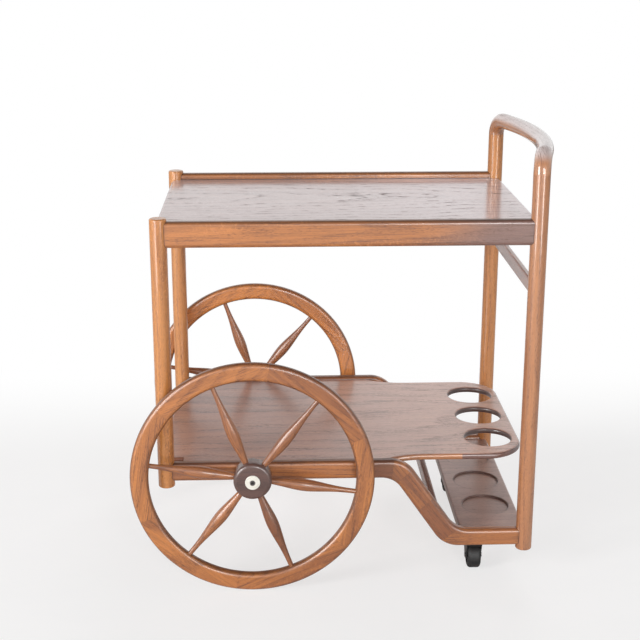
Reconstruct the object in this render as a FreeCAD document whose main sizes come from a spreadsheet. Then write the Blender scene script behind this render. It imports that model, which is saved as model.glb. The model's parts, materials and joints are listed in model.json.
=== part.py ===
import FreeCAD, Part
import math
import os
import Sketcher

# Serving cart in oak. Z is up, X runs along the cart from the large wheels to the push bar,
# the front is towards -Y and the origin is on the floor under the middle of the cart.

# Driving sizes in millimetres. Names that end in angle are degrees, names that end in share are ratios.
# A reach is measured along X from the axle of the large wheels, a setback back from the right posts.
SIZES = {
    # Clearances and cuts
    "glue_gap": 0.1,
    "running_gap": 0.05,
    "axial_gap": 0.3,
    "overrun": 6.0,
    # Large wheels
    "wheel_diameter": 450.0,
    "rim_width": 34.0,
    "rim_thickness": 20.0,
    "rim_edge_flat": 2.0,
    "rim_dowel_diameter": 8.0,
    "rim_dowel_length": 30.0,
    "hub_diameter": 70.5,
    "hub_length": 36.0,
    "hub_edge_round": 7.0,
    "hub_standoff": 5.0,
    "bush_wall": 2.0,
    "front_spoke_angle": 8.5,
    "back_spoke_angle": 10.3,
    "spoke_root_diameter": 11.5,
    "spoke_lower_diameter": 15.2,
    "spoke_rise_diameter": 19.8,
    "spoke_belly_diameter": 22.5,
    "spoke_fall_diameter": 19.6,
    "spoke_neck_diameter": 12.6,
    "spoke_tip_diameter": 9.0,
    "spoke_lower_share": 0.12,
    "spoke_rise_share": 0.25,
    "spoke_belly_share": 0.38,
    "spoke_fall_share": 0.53,
    "spoke_neck_share": 0.73,
    "spoke_root_depth": 14.0,
    "spoke_tip_depth": 12.0,
    # Axle bolts, their threaded sleeves and the spacer rings
    "axle_diameter": 12.0,
    "bolt_head_diameter": 27.8,
    "bolt_flange_thickness": 1.9,
    "bolt_flange_width": 4.4,
    "bolt_flange_round": 1.2,
    "bolt_boss_height": 0.9,
    "bolt_boss_round": 0.7,
    "bolt_recess_diameter": 10.0,
    "bolt_recess_depth": 2.0,
    "bolt_socket_width": 6.0,
    "bolt_socket_depth": 5.0,
    "bolt_step": 1.0,
    "insert_wall": 3.0,
    "insert_length": 15.0,
    "spacer_wall": 5.0,
    # Posts
    "left_post_diameter": 30.8,
    "right_post_diameter": 30.8,
    "post_spacing": 474.5,
    "left_post_reach": 160.5,
    "right_post_reach": 515.1,
    "post_end_round": 3.0,
    "left_post_rise": 5.7,
    "left_post_drop": 12.0,
    "right_post_drop": 9.6,
    # Top rails
    "rail_thickness": 22.0,
    "rail_edge_round": 7.5,
    "top_rail_height": 46.9,
    "deck_spacing": 456.0,
    # Side rails
    "side_rail_upper_height": 35.3,
    "side_rail_axle_offset": 3.05,
    "side_rail_lower_height": 33.4,
    "side_rail_slope_angle": 55.5,
    "side_rail_slope_width": 38.2,
    "side_rail_bend_setback": 229.85,
    "outer_bend_round": 58.0,
    "outer_foot_round": 48.0,
    "inner_bend_round": 45.0,
    "inner_foot_round": 55.0,
    # Boards and the tongues that hold them in the rails
    "board_thickness": 12.0,
    "board_edge_flat": 0.8,
    "board_overhang": 8.0,
    "board_corner_round": 10.0,
    "tongue_thickness": 5.0,
    "tongue_length": 5.0,
    "tongue_setback": 24.0,
    "panel_drop": 12.4,
    "shelf_drop": 5.4,
    "shelf_neck_inset": 20.3,
    "shelf_notch_setback": 30.5,
    "shelf_shoulder_setback": 34.65,
    "shelf_shoulder_length": 74.0,
    "shelf_end_margin": 15.0,
    "shelf_end_round": 73.0,
    "bottle_setback": 56.1,
    "bottle_bar_share": 0.215,
    "bottle_hole_diameter": 90.0,
    "tray_thickness": 17.0,
    "tray_drop": 6.0,
    "tray_margin": 9.8,
    "tray_overhang": 2.9,
    "tray_edge_round": 4.0,
    "seat_clearance": 0.5,
    "seat_depth": 4.0,
    "seat_edge_round": 1.5,
    # Cross rails
    "cross_rail_thickness": 12.0,
    "cross_rail_height": 27.0,
    "cross_rail_round": 4.0,
    "upper_cross_rail_drop": 147.9,
    "lower_cross_rail_rise": 18.2,
    "lower_cross_rail_lead": 5.9,
    # Dowels of the frame
    "dowel_diameter": 8.0,
    "dowel_length": 32.0,
    "dowel_spacing": 22.0,
    # Push bar
    "handle_rise": 110.9,
    "handle_corner_radius": 32.0,
    "handle_splay_angle": 15.44,
    "handle_dowel_diameter": 10.0,
    "handle_dowel_rise": 14.0,
    "handle_dowel_depth": 26.0,
    # Swivel casters
    "caster_setback": 89.1,
    "caster_inset": 48.25,
    "caster_head_height": 28.8,
    "caster_trail": 18.0,
    "caster_wheel_diameter": 50.0,
    "caster_wheel_width": 25.0,
    "caster_tread_round": 6.0,
    "caster_tread_depth": 8.0,
    "caster_dish_depth": 2.5,
    "caster_pin_diameter": 6.0,
    "caster_pin_head_diameter": 9.0,
    "caster_pin_head_thickness": 1.5,
    "plate_width": 46.0,
    "plate_thickness": 2.5,
    "plate_corner_round": 6.0,
    "race_margin": 6.0,
    "race_height": 6.5,
    "race_edge_round": 2.5,
    "kingpin_diameter": 8.0,
    "kingpin_collar_diameter": 14.0,
    "kingpin_collar_thickness": 2.0,
    "kingpin_depth": 9.0,
    "fork_cheek_thickness": 2.2,
    "fork_hood_gap": 3.0,
    "fork_front_width": 26.0,
    "fork_back_width": 16.0,
    "fork_shoulder_height": 12.0,
    "fork_hood_reach": 18.0,
    "fork_eye_radius": 8.5,
    "fork_eye_share": 0.9,
    "fork_edge_round": 1.0,
    "screw_diameter": 4.0,
    "screw_length": 14.0,
    "screw_head_diameter": 7.5,
    "screw_head_height": 2.2,
    "screw_round_share": 0.6,
    "screw_margin": 6.5,
}

# Sizes and places that follow from the driving ones.
FOLLOWING = {
    # Push bar: two bent corners, turned outwards, and one long level arc between them
    "handle_half_chord": "post_spacing / 2 - handle_corner_radius * cos(handle_splay_angle)",
    "handle_arc_radius": "handle_half_chord / sin(handle_splay_angle)",
    "handle_corner_out": "handle_corner_radius * sin(handle_splay_angle)",
    "handle_corner_in": "handle_corner_radius * cos(handle_splay_angle)",
    "handle_bow": "handle_corner_out + handle_arc_radius * (1 - cos(handle_splay_angle))",
    "handle_radius": "right_post_diameter / 2",
    "handle_height": "top_rail_top + handle_rise",
    "handle_start": "handle_height - handle_corner_radius",
    "handle_sweep_angle": "2 * handle_splay_angle",
    # Main places
    "wheel_radius": "wheel_diameter / 2",
    "overall_length": "wheel_radius + right_post_reach + handle_bow + handle_radius",
    "axle_x": "wheel_radius - overall_length / 2",
    "axle_height": "wheel_radius",
    "left_post_x": "axle_x - left_post_reach",
    "right_post_x": "axle_x + right_post_reach",
    "handle_arc_x": "right_post_x + handle_bow - handle_arc_radius",
    "handle_corner_x": "right_post_x + handle_corner_out",
    "handle_corner_y": "post_y - handle_corner_in",
    "post_y": "post_spacing / 2",
    "rail_half": "rail_thickness / 2",
    "rail_inner_y": "post_y - rail_half",
    "rail_outer_y": "post_y + rail_half",
    "hub_inner_y": "rail_outer_y + hub_standoff",
    "wheel_y": "hub_inner_y + hub_length / 2",
    # Large wheels
    "rim_inner_radius": "wheel_radius - rim_width",
    "rim_middle_radius": "wheel_radius - rim_width / 2",
    "rim_half": "rim_thickness / 2",
    "rim_edge_round": "rim_half - rim_edge_flat",
    "rim_dowel_radius": "rim_dowel_diameter / 2",
    "rim_dowel_hole": "rim_dowel_diameter + 2 * glue_gap",
    "rim_dowel_hole_depth": "rim_dowel_length / 2 + axial_gap",
    "hub_radius": "hub_diameter / 2",
    "hub_half": "hub_length / 2",
    "bush_radius": "axle_radius + bush_wall",
    "hub_bore_radius": "bush_radius + glue_gap",
    "bush_bore_radius": "axle_radius + running_gap",
    "spoke_length": "rim_inner_radius - hub_radius",
    "spoke_root_x": "hub_radius",
    "spoke_lower_x": "hub_radius + spoke_length * spoke_lower_share",
    "spoke_rise_x": "hub_radius + spoke_length * spoke_rise_share",
    "spoke_belly_x": "hub_radius + spoke_length * spoke_belly_share",
    "spoke_fall_x": "hub_radius + spoke_length * spoke_fall_share",
    "spoke_neck_x": "hub_radius + spoke_length * spoke_neck_share",
    "spoke_tip_x": "rim_inner_radius",
    "spoke_root_hole": "spoke_root_diameter + 2 * glue_gap",
    "spoke_tip_hole": "spoke_tip_diameter + 2 * glue_gap",
    "spoke_root_tenon": "spoke_root_depth - axial_gap",
    "spoke_tip_tenon": "spoke_tip_depth - axial_gap",
    "spoke_tip_end": "rim_inner_radius + spoke_tip_depth",
    # Axle bolts
    "bolt_head_y": "hub_inner_y + hub_length + axial_gap",
    "bolt_shoulder": "bolt_head_y - rail_outer_y",
    "bolt_length": "bolt_shoulder + insert_length - axial_gap",
    "bolt_head_radius": "bolt_head_diameter / 2",
    "bolt_head_thickness": "bolt_flange_thickness + bolt_boss_height",
    "bolt_boss_radius": "bolt_head_radius - bolt_flange_width",
    "bolt_recess_floor": "bolt_head_thickness - bolt_recess_depth",
    "bolt_socket_half": "bolt_socket_width / 2",
    "bolt_socket_corner": "bolt_socket_width / sqrt(3)",
    "bolt_socket_edge": "bolt_socket_corner / 2",
    "axle_radius": "axle_diameter / 2",
    "thread_radius": "axle_radius - bolt_step",
    "insert_radius": "thread_radius + insert_wall",
    "insert_bore_radius": "thread_radius + glue_gap",
    "insert_hole_radius": "insert_radius + glue_gap",
    "insert_hole_y": "rail_outer_y + overrun",
    "insert_hole_length": "insert_length + axial_gap + overrun",
    "spacer_radius": "axle_radius + spacer_wall",
    "spacer_bore_radius": "axle_radius + glue_gap",
    "spacer_length": "hub_standoff - axial_gap",
    # Posts
    "left_post_radius": "left_post_diameter / 2",
    "right_post_radius": "right_post_diameter / 2",
    "left_cope_radius": "left_post_radius + glue_gap",
    "right_cope_radius": "right_post_radius + glue_gap",
    "left_cope_diameter": "2 * left_cope_radius",
    "right_cope_diameter": "2 * right_cope_radius",
    "left_post_top": "top_rail_top + left_post_rise",
    "left_post_bottom": "side_rail_upper_bottom - left_post_drop",
    "right_post_bottom": "side_rail_lower_bottom - right_post_drop",
    # Rails
    "top_rail_top": "side_rail_upper_top + deck_spacing",
    "top_rail_bottom": "top_rail_top - top_rail_height",
    "side_rail_upper_top": "axle_height + side_rail_upper_height / 2 + side_rail_axle_offset",
    "side_rail_lower_top": "tray_top + tray_drop",
    "side_rail_upper_bottom": "side_rail_upper_top - side_rail_upper_height",
    "side_rail_lower_bottom": "side_rail_lower_top - side_rail_lower_height",
    "slope_run": "1 / tan(side_rail_slope_angle)",
    "slope_offset": "side_rail_slope_width / sin(side_rail_slope_angle)",
    "bend_x": "right_post_x - side_rail_bend_setback",
    "foot_x": "bend_x + (side_rail_upper_top - side_rail_lower_top) * slope_run",
    "under_bend_x": "bend_x + (side_rail_upper_top - side_rail_upper_bottom) * slope_run - slope_offset",
    "under_foot_x": "bend_x + (side_rail_upper_top - side_rail_lower_bottom) * slope_run - slope_offset",
    "under_bend_tangent": "inner_bend_round * tan(side_rail_slope_angle / 2)",
    "foot_tangent": "outer_foot_round * tan(side_rail_slope_angle / 2)",
    # Boards: a tongue lies in the middle of the board's edge
    "board_edge_round": "board_thickness / 2 - board_edge_flat",
    "board_left_x": "left_post_x - board_overhang",
    "board_right_x": "right_post_x + board_overhang",
    "panel_top": "top_rail_top - panel_drop",
    "panel_bottom": "panel_top - board_thickness",
    "panel_tongue_bottom": "panel_bottom + (board_thickness - tongue_thickness) / 2",
    "panel_tongue_left": "left_post_x + tongue_setback",
    "panel_tongue_right": "right_post_x - tongue_setback",
    "shelf_top": "side_rail_upper_top - shelf_drop",
    "shelf_bottom": "shelf_top - board_thickness",
    "shelf_tongue_bottom": "shelf_bottom + (board_thickness - tongue_thickness) / 2",
    "shelf_tongue_left": "shelf_notch_x + tongue_setback",
    "shelf_tongue_right": "under_bend_x - under_bend_tangent - glue_gap",
    "shelf_notch_x": "left_post_x + shelf_notch_setback",
    "shelf_neck_y": "rail_inner_y - shelf_neck_inset",
    "shoulder_start_x": "bend_x - shelf_shoulder_setback",
    "shoulder_end_x": "shoulder_start_x + shelf_shoulder_length",
    "shoulder_radius": "(shelf_shoulder_length^2 + shelf_neck_inset^2) / (2 * shelf_neck_inset)",
    "shelf_end_x": "bottle_x + bottle_hole_radius + shelf_end_margin",
    "shelf_round_x": "shelf_end_x - shelf_end_round",
    "shelf_round_y": "shelf_neck_y - shelf_end_round",
    "bottle_x": "right_post_x - bottle_setback",
    "bottle_hole_radius": "bottle_hole_diameter / 2",
    "bottle_free_width": "2 * shelf_neck_y - 3 * bottle_hole_diameter",
    "bottle_spacing": "bottle_hole_diameter + bottle_free_width * bottle_bar_share",
    "seat_diameter": "bottle_hole_diameter + 2 * seat_clearance",
    "seat_radius": "seat_diameter / 2",
    "tray_bottom": "caster_wheel_diameter + caster_head_height",
    "tray_top": "tray_bottom + tray_thickness",
    "tray_left_x": "caster_x - plate_half - tray_margin",
    "tray_right_x": "right_post_x + tray_overhang",
    "tray_tongue_bottom": "tray_bottom + (tray_thickness - tongue_thickness) / 2",
    "tray_tongue_left": "foot_x + foot_tangent + glue_gap",
    "tray_tongue_right": "right_post_x - tongue_setback",
    "groove_height": "tongue_thickness + 2 * glue_gap",
    "groove_depth": "tongue_length + glue_gap",
    "groove_width": "groove_depth + overrun",
    "groove_front_y": "-rail_inner_y - groove_depth",
    "groove_back_y": "rail_inner_y - overrun",
    "panel_groove_left": "panel_tongue_left - glue_gap",
    "panel_groove_length": "panel_tongue_right - panel_tongue_left + 2 * glue_gap",
    "panel_groove_bottom": "panel_tongue_bottom - glue_gap",
    "shelf_groove_left": "shelf_tongue_left - glue_gap",
    "shelf_groove_length": "shelf_tongue_right - shelf_tongue_left + 2 * glue_gap",
    "shelf_groove_bottom": "shelf_tongue_bottom - glue_gap",
    "tray_groove_left": "tray_tongue_left - glue_gap",
    "tray_groove_length": "tray_tongue_right - tray_tongue_left + 2 * glue_gap",
    "tray_groove_bottom": "tray_tongue_bottom - glue_gap",
    "tongue_root_y": "rail_inner_y - tongue_length",
    "tongue_tip_y": "rail_inner_y + tongue_length",
    "strip_y": "rail_inner_y - board_edge_round",
    "panel_strip_left": "board_left_x + board_corner_round",
    "panel_strip_right": "board_right_x - board_corner_round",
    # Cross rails
    "cross_rail_half": "cross_rail_thickness / 2",
    "upper_cross_rail_length": "2 * post_y",
    "lower_cross_rail_length": "2 * rail_inner_y",
    "upper_cross_rail_bottom": "top_rail_top - upper_cross_rail_drop",
    "lower_cross_rail_bottom": "side_rail_lower_top + lower_cross_rail_rise",
    "upper_cross_rail_top": "upper_cross_rail_bottom + cross_rail_height",
    "lower_cross_rail_top": "lower_cross_rail_bottom + cross_rail_height",
    "lower_cross_rail_fall": "side_rail_upper_top - cross_dowel_lower",
    "lower_cross_rail_shift": "lower_cross_rail_lead - slope_offset / 2",
    "lower_cross_rail_x": "bend_x + lower_cross_rail_fall * slope_run + lower_cross_rail_shift",
    # Dowels: half of each dowel lies on either side of its joint
    "dowel_radius": "dowel_diameter / 2",
    "dowel_hole_radius": "dowel_radius + glue_gap",
    "dowel_hole_length": "dowel_length + 2 * axial_gap",
    "left_dowel_x": "left_post_x + left_post_radius - dowel_length / 2",
    "right_dowel_x": "right_post_x - right_post_radius - dowel_length / 2",
    "cross_dowel_y": "post_y - right_post_radius - dowel_length / 2",
    "low_cross_dowel_y": "rail_inner_y + rail_half - dowel_length",
    "top_dowel_low": "top_rail_bottom + (top_rail_height - dowel_spacing) / 2",
    "top_dowel_high": "top_dowel_low + dowel_spacing",
    "side_dowel_upper": "side_rail_upper_bottom + side_rail_upper_height / 2",
    "side_dowel_lower": "side_rail_lower_bottom + side_rail_lower_height / 2",
    "cross_dowel_upper": "upper_cross_rail_bottom + cross_rail_height / 2",
    "cross_dowel_lower": "lower_cross_rail_bottom + cross_rail_height / 2",
    "handle_dowel_radius": "handle_dowel_diameter / 2",
    "handle_dowel_hole_radius": "handle_dowel_radius + glue_gap",
    "handle_dowel_bottom": "handle_start - handle_dowel_depth",
    "handle_dowel_length": "handle_dowel_depth + handle_dowel_rise",
    "handle_dowel_hole_bottom": "handle_dowel_bottom - axial_gap",
    "handle_dowel_hole_length": "handle_dowel_length + 2 * axial_gap",
    # Casters, each in a frame of its own with the swivel axis as Z and the floor at zero
    "caster_x": "right_post_x - caster_setback",
    "caster_y": "rail_inner_y - caster_inset",
    "caster_front_wheel_y": "-caster_y - caster_trail",
    "caster_back_wheel_y": "caster_y - caster_trail",
    "caster_axle_height": "caster_wheel_diameter / 2",
    "caster_half_width": "caster_wheel_width / 2",
    "caster_bore_radius": "caster_pin_diameter / 2 + running_gap",
    "caster_dish_radius": "caster_axle_height - caster_tread_depth",
    "caster_dish_floor": "caster_half_width - caster_dish_depth",
    "caster_hub_radius": "caster_pin_head_diameter / 2",
    "plate_bottom": "tray_bottom - plate_thickness",
    "plate_half": "plate_width / 2",
    "race_bottom": "plate_bottom - race_height",
    "race_diameter": "plate_width - 2 * race_margin",
    "fork_top": "race_bottom - axial_gap",
    "fork_shoulder": "fork_top - fork_shoulder_height",
    "fork_slot_diameter": "caster_wheel_diameter + 2 * fork_hood_gap",
    "fork_slot_half": "caster_half_width + axial_gap",
    "fork_half": "fork_slot_half + fork_cheek_thickness",
    "fork_width": "2 * fork_half",
    "fork_slot_width": "2 * fork_slot_half",
    "fork_eye_front": "caster_trail + fork_eye_radius",
    "fork_eye_back": "caster_trail - fork_eye_radius",
    "fork_eye_bottom": "caster_axle_height - fork_eye_radius",
    "fork_eye_top": "caster_axle_height + fork_eye_radius",
    "fork_hood_front": "caster_trail + fork_hood_reach",
    "fork_hood_shoulder": "fork_top - fork_shoulder_height",
    "fork_eye_round": "fork_eye_radius * fork_eye_share",
    "caster_pin_radius": "caster_pin_diameter / 2",
    "caster_pin_hole": "caster_pin_diameter + 2 * glue_gap",
    "caster_pin_end": "fork_half + caster_pin_head_thickness",
    "kingpin_radius": "kingpin_diameter / 2",
    "kingpin_bore_radius": "kingpin_radius + running_gap",
    "kingpin_hole_radius": "kingpin_radius + glue_gap",
    "kingpin_hole_diameter": "2 * kingpin_hole_radius",
    "kingpin_bore_diameter": "2 * kingpin_bore_radius",
    "kingpin_collar_radius": "kingpin_collar_diameter / 2",
    "kingpin_collar_hole": "kingpin_collar_diameter + 2 * glue_gap",
    "kingpin_bottom": "fork_top - kingpin_depth",
    "kingpin_bore_depth": "kingpin_depth + axial_gap",
    "kingpin_collar_bottom": "tray_bottom - kingpin_collar_thickness",
    "screw_radius": "screw_diameter / 2",
    "screw_hole_radius": "screw_radius + glue_gap",
    "screw_hole_diameter": "2 * screw_hole_radius",
    "screw_head_radius": "screw_head_diameter / 2",
    "screw_head_round": "screw_head_height * screw_round_share",
    "screw_head_bottom": "plate_bottom - screw_head_height",
    "screw_tip": "plate_bottom + screw_length",
    "screw_hole_length": "screw_length + axial_gap",
    "screw_offset": "plate_half - screw_margin",
    "screw_left_x": "caster_x - screw_offset",
    "screw_right_x": "caster_x + screw_offset",
    "screw_inner_y": "caster_y - screw_offset",
    "screw_outer_y": "caster_y + screw_offset",
}

# How many of each repeated piece there are in a wheel
SPOKES = 6
SEGMENTS = 6

# Where the bottles stand across the cart
BOTTLE_PLACES = ("-bottle_spacing", "zero", "bottle_spacing")

# Sections of a spoke from the hub to the rim
SPOKE_SECTIONS = ["root", "lower", "rise", "belly", "fall", "neck", "tip"]

# The two sides of the cart, and the direction in which each one lies
SIDES = {"front": -1, "back": 1}

doc = FreeCAD.newDocument("serving_cart")
sheet = doc.addObject("Spreadsheet::Sheet", "Sizes")
nodes = []


def fill_sheet():
    """Give every size its alias, then write the driving ones as numbers and the following as formulas."""
    rows = list(SIZES.items()) + [(name, "=" + formula) for name, formula in FOLLOWING.items()]
    for row, (name, _) in enumerate(rows, start=1):
        sheet.set(f"A{row}", name)
        sheet.setAlias(f"B{row}", name)
    for row, (_, content) in enumerate(rows, start=1):
        sheet.set(f"B{row}", str(content))
    doc.recompute()


def number(name):
    """Read one size from the sheet; the name may have a minus sign, or be the word zero."""
    if name == "zero":
        return 0.0
    if name.startswith("-"):
        return -float(sheet.get(name[1:]))
    return float(sheet.get(name))


def bound(name):
    """Turn a size's name, with or without a minus sign, into an expression on the sheet."""
    if name == "zero":
        return "0"
    if name.startswith("-"):
        return "-Sizes." + name[1:]
    return "Sizes." + name


def signed(side, name):
    """Name of a size with the sign of the given side."""
    return name if SIDES[side] > 0 else "-" + name


def bind(thing, **properties):
    """Bind properties of an object to sizes of the sheet."""
    for key, name in properties.items():
        thing.setExpression(key, bound(name))


def place(thing, x="zero", y="zero", z="zero", turn=FreeCAD.Rotation()):
    """Turn an object, then bind its position to the sheet."""
    thing.Placement = FreeCAD.Placement(FreeCAD.Vector(), turn)
    for axis, name in (("x", x), ("y", y), ("z", z)):
        if name != "zero":
            thing.setExpression(f"Placement.Base.{axis}", bound(name))
    return thing


def node(thing, label):
    """Give an object its label and list it as a sub-part."""
    thing.Label = label
    nodes.append(thing)
    return thing


def new_body(name):
    """Make an empty body."""
    return doc.addObject("PartDesign::Body", name)


def origin_part(body, role):
    """Find one of the planes or axes of a body's own origin."""
    for feature in body.Origin.OriginFeatures:
        if feature.Role == role:
            return feature
    raise RuntimeError("no plane or axis " + role)


def new_sketch(body, name, role, offset=None):
    """Make a sketch on an origin plane, moved along the plane's normal by a size if one is given."""
    sketch = body.newObject("Sketcher::SketchObject", name)
    sketch.AttachmentSupport = [(origin_part(body, role), "")]
    sketch.MapMode = "FlatFace"
    if offset:
        sketch.setExpression("AttachmentOffset.Base.z", bound(offset))
    return sketch


def pin_point(sketch, geometry, point, x, y):
    """Hold a point of a sketch at two sizes from the sketch's origin."""
    for kind, axis, name in (("DistanceX", -2, x), ("DistanceY", -1, y)):
        if name == "zero":
            sketch.addConstraint(Sketcher.Constraint("PointOnObject", geometry, point, axis))
        else:
            held = Sketcher.Constraint(kind, -1, 1, geometry, point, number(name))
            index = sketch.addConstraint(held)
            sketch.setExpression(f"Constraints[{index}]", bound(name))


def add_circle(sketch, x, y, diameter):
    """Draw a circle whose centre and diameter are sizes."""
    centre = FreeCAD.Vector(number(x), number(y), 0)
    ring = Part.Circle(centre, FreeCAD.Vector(0, 0, 1), number(diameter) / 2)
    geometry = sketch.addGeometry(ring, False)
    pin_point(sketch, geometry, 3, x, y)
    index = sketch.addConstraint(Sketcher.Constraint("Diameter", geometry, number(diameter)))
    sketch.setExpression(f"Constraints[{index}]", bound(diameter))


def arc_between(start, end, radius, turn):
    """Arc from start to end, counter-clockwise for a turn of 1 and clockwise for -1."""
    chord = end.sub(start)
    middle = start.add(chord.multiply(0.5))
    half = start.distanceToPoint(middle)
    rise = math.sqrt(radius * radius - half * half)
    normal = FreeCAD.Vector(-chord.y, chord.x, 0).normalize()
    centre = middle.add(normal.multiply(rise * turn))
    first, last = (start, end) if turn > 0 else (end, start)
    angles = [math.atan2(point.y - centre.y, point.x - centre.x) for point in (first, last)]
    if angles[1] < angles[0]:
        angles[1] += 2 * math.pi
    circle = Part.Circle(centre, FreeCAD.Vector(0, 0, 1), radius)
    return Part.ArcOfCircle(circle, angles[0], angles[1])


def add_outline(sketch, points, arcs=None):
    """Draw a closed outline. Points are pairs of sizes; arcs maps an edge's number to (radius, turn)."""
    arcs = arcs or {}
    total = len(points)
    places = [FreeCAD.Vector(number(x), number(y), 0) for x, y in points]
    ends = []
    for index in range(total):
        start, end = places[index], places[(index + 1) % total]
        if index in arcs:
            radius, turn = arcs[index]
            geometry = sketch.addGeometry(arc_between(start, end, number(radius), turn), False)
            ends.append((geometry, 1, 2) if turn > 0 else (geometry, 2, 1))
        else:
            geometry = sketch.addGeometry(Part.LineSegment(start, end), False)
            ends.append((geometry, 1, 2))
    for index in range(total):
        this, following = ends[index], ends[(index + 1) % total]
        joint = Sketcher.Constraint("Coincident", this[0], this[2], following[0], following[1])
        sketch.addConstraint(joint)
    for index, (x, y) in enumerate(points):
        pin_point(sketch, ends[index][0], ends[index][1], x, y)
    for index, (radius, _) in arcs.items():
        geometry = ends[index][0]
        held = sketch.addConstraint(Sketcher.Constraint("Radius", geometry, number(radius)))
        sketch.setExpression(f"Constraints[{held}]", bound(radius))


def add_feature(body, kind, name, profile):
    """Add a feature made from a sketch to a body."""
    feature = body.newObject("PartDesign::" + kind, name)
    feature.Profile = profile
    return feature


def pad(body, name, sketch, length, both_ways=False, backwards=False):
    """Pad a sketch by a size."""
    feature = add_feature(body, "Pad", name, sketch)
    feature.SideType = "Symmetric" if both_ways else "One side"
    feature.Reversed = backwards
    bind(feature, Length=length)
    return feature


def pocket(body, name, sketch, length=None, backwards=False):
    """Cut a sketch out of a body by a size, or right through both ways where none is given."""
    feature = add_feature(body, "Pocket", name, sketch)
    if length:
        feature.Reversed = backwards
        bind(feature, Length=length)
    else:
        feature.SideType = "Symmetric"
        feature.Type = "ThroughAll"
    return feature


def revolve(body, name, sketch, axis="V_Axis", angle=360):
    """Turn a sketch about one of its own axes, evenly to both sides."""
    feature = add_feature(body, "Revolution", name, sketch)
    feature.ReferenceAxis = (sketch, [axis])
    feature.Angle = angle
    feature.Midplane = angle < 360
    return feature


def round_edges(body, name, wanted, radius):
    """Round those edges of a body's last feature that the test picks."""
    base = body.Tip
    base.recompute(True)
    picked = [f"Edge{n}" for n, edge in enumerate(base.Shape.Edges, start=1) if wanted(edge)]
    if not picked:
        raise RuntimeError("no edges to round in " + body.Name)
    feature = body.newObject("PartDesign::Fillet", name)
    feature.Base = (base, picked)
    bind(feature, Radius=radius)
    return feature


def same(first, second):
    """Say whether two measures agree."""
    return math.isclose(first, second, rel_tol=1e-6, abs_tol=1e-5)


def along(edge, axis):
    """Say whether an edge is a straight line along an axis, given as 0, 1 or 2."""
    if not isinstance(edge.Curve, Part.Line):
        return False
    direction = edge.Curve.Direction
    return same(abs(direction[axis]), 1)


def in_plane(edge, axis, name):
    """Say whether a whole edge lies in the plane where one coordinate has the named size."""
    box = edge.BoundBox
    low = (box.XMin, box.YMin, box.ZMin)[axis]
    high = (box.XMax, box.YMax, box.ZMax)[axis]
    wanted = number(name)
    return math.isclose(low, wanted, abs_tol=1e-3) and math.isclose(high, wanted, abs_tol=1e-3)


def round_at(edge, name):
    """Say whether an edge is round, with the named size as its radius."""
    return isinstance(edge.Curve, Part.Circle) and same(edge.Curve.Radius, number(name))


def nearest_corner(shape, axis, place_wanted):
    """Find the straight edge along an axis that is nearest to a point."""
    lines = [edge for edge in shape.Edges if along(edge, axis)]
    return min(lines, key=lambda edge: edge.distToShape(Part.Vertex(place_wanted))[0])


def round_corner(body, name, axis, corner, radius):
    """Round the one edge along an axis that passes a corner."""
    body.Tip.recompute(True)
    wanted = nearest_corner(body.Tip.Shape, axis, corner)
    return round_edges(body, name, lambda edge: edge.isSame(wanted), radius)


def turned_body(name, role, points, axis="V_Axis"):
    """Body made by turning one outline about an axis of its sketch."""
    body = new_body(name)
    sketch = new_sketch(body, name + "_profile", role)
    add_outline(sketch, points)
    revolve(body, name + "_turning", sketch, axis)
    return body


def sleeve_points(inner, outer, low, high):
    """Outline of a plain sleeve."""
    return [(inner, low), (outer, low), (outer, high), (inner, high)]


def bar_points(radius, low, high):
    """Outline of a plain round bar."""
    return sleeve_points("zero", radius, low, high)


def cylinder(name, radius, height, x, y, z, turn=FreeCAD.Rotation()):
    """Round bar or hole cutter whose axis starts at a named place."""
    bar = doc.addObject("Part::Cylinder", name)
    bind(bar, Radius=radius, Height=height)
    return place(bar, x, y, z, turn)


def compound(name, members):
    """Group separate solids in one object."""
    group = doc.addObject("Part::Compound", name)
    group.Links = members
    return group


def cut(name, base, tool):
    """Take a tool away from a base."""
    result = doc.addObject("Part::Cut", name)
    result.Base = base
    result.Tool = tool
    return result


def finish_piece(label, body, tools):
    """Take each tool away from a body in turn and list the result as a sub-part."""
    piece = body
    for count, tool in enumerate(tools[:-1], start=1):
        piece = cut(f"{label}_cut_{count}", piece, tool)
    node(cut(label, piece, tools[-1]), label)


ALONG_X = FreeCAD.Rotation(FreeCAD.Vector(0, 1, 0), 90)
ALONG_Y = FreeCAD.Rotation(FreeCAD.Vector(1, 0, 0), -90)
ABOUT = FreeCAD.Rotation(FreeCAD.Vector(0, 0, 1), 180)


def build_post_copes():
    """Cutters for whatever meets a post: the post's own round plus the glue gap."""
    copes = []
    for end in ("left", "right"):
        for side in SIDES:
            copes.append(cylinder(f"cope_{end}_{side}", f"{end}_cope_radius", "top_rail_top",
                                  f"{end}_post_x", signed(side, "post_y"), "zero"))
    return compound("post_copes", copes)


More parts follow.
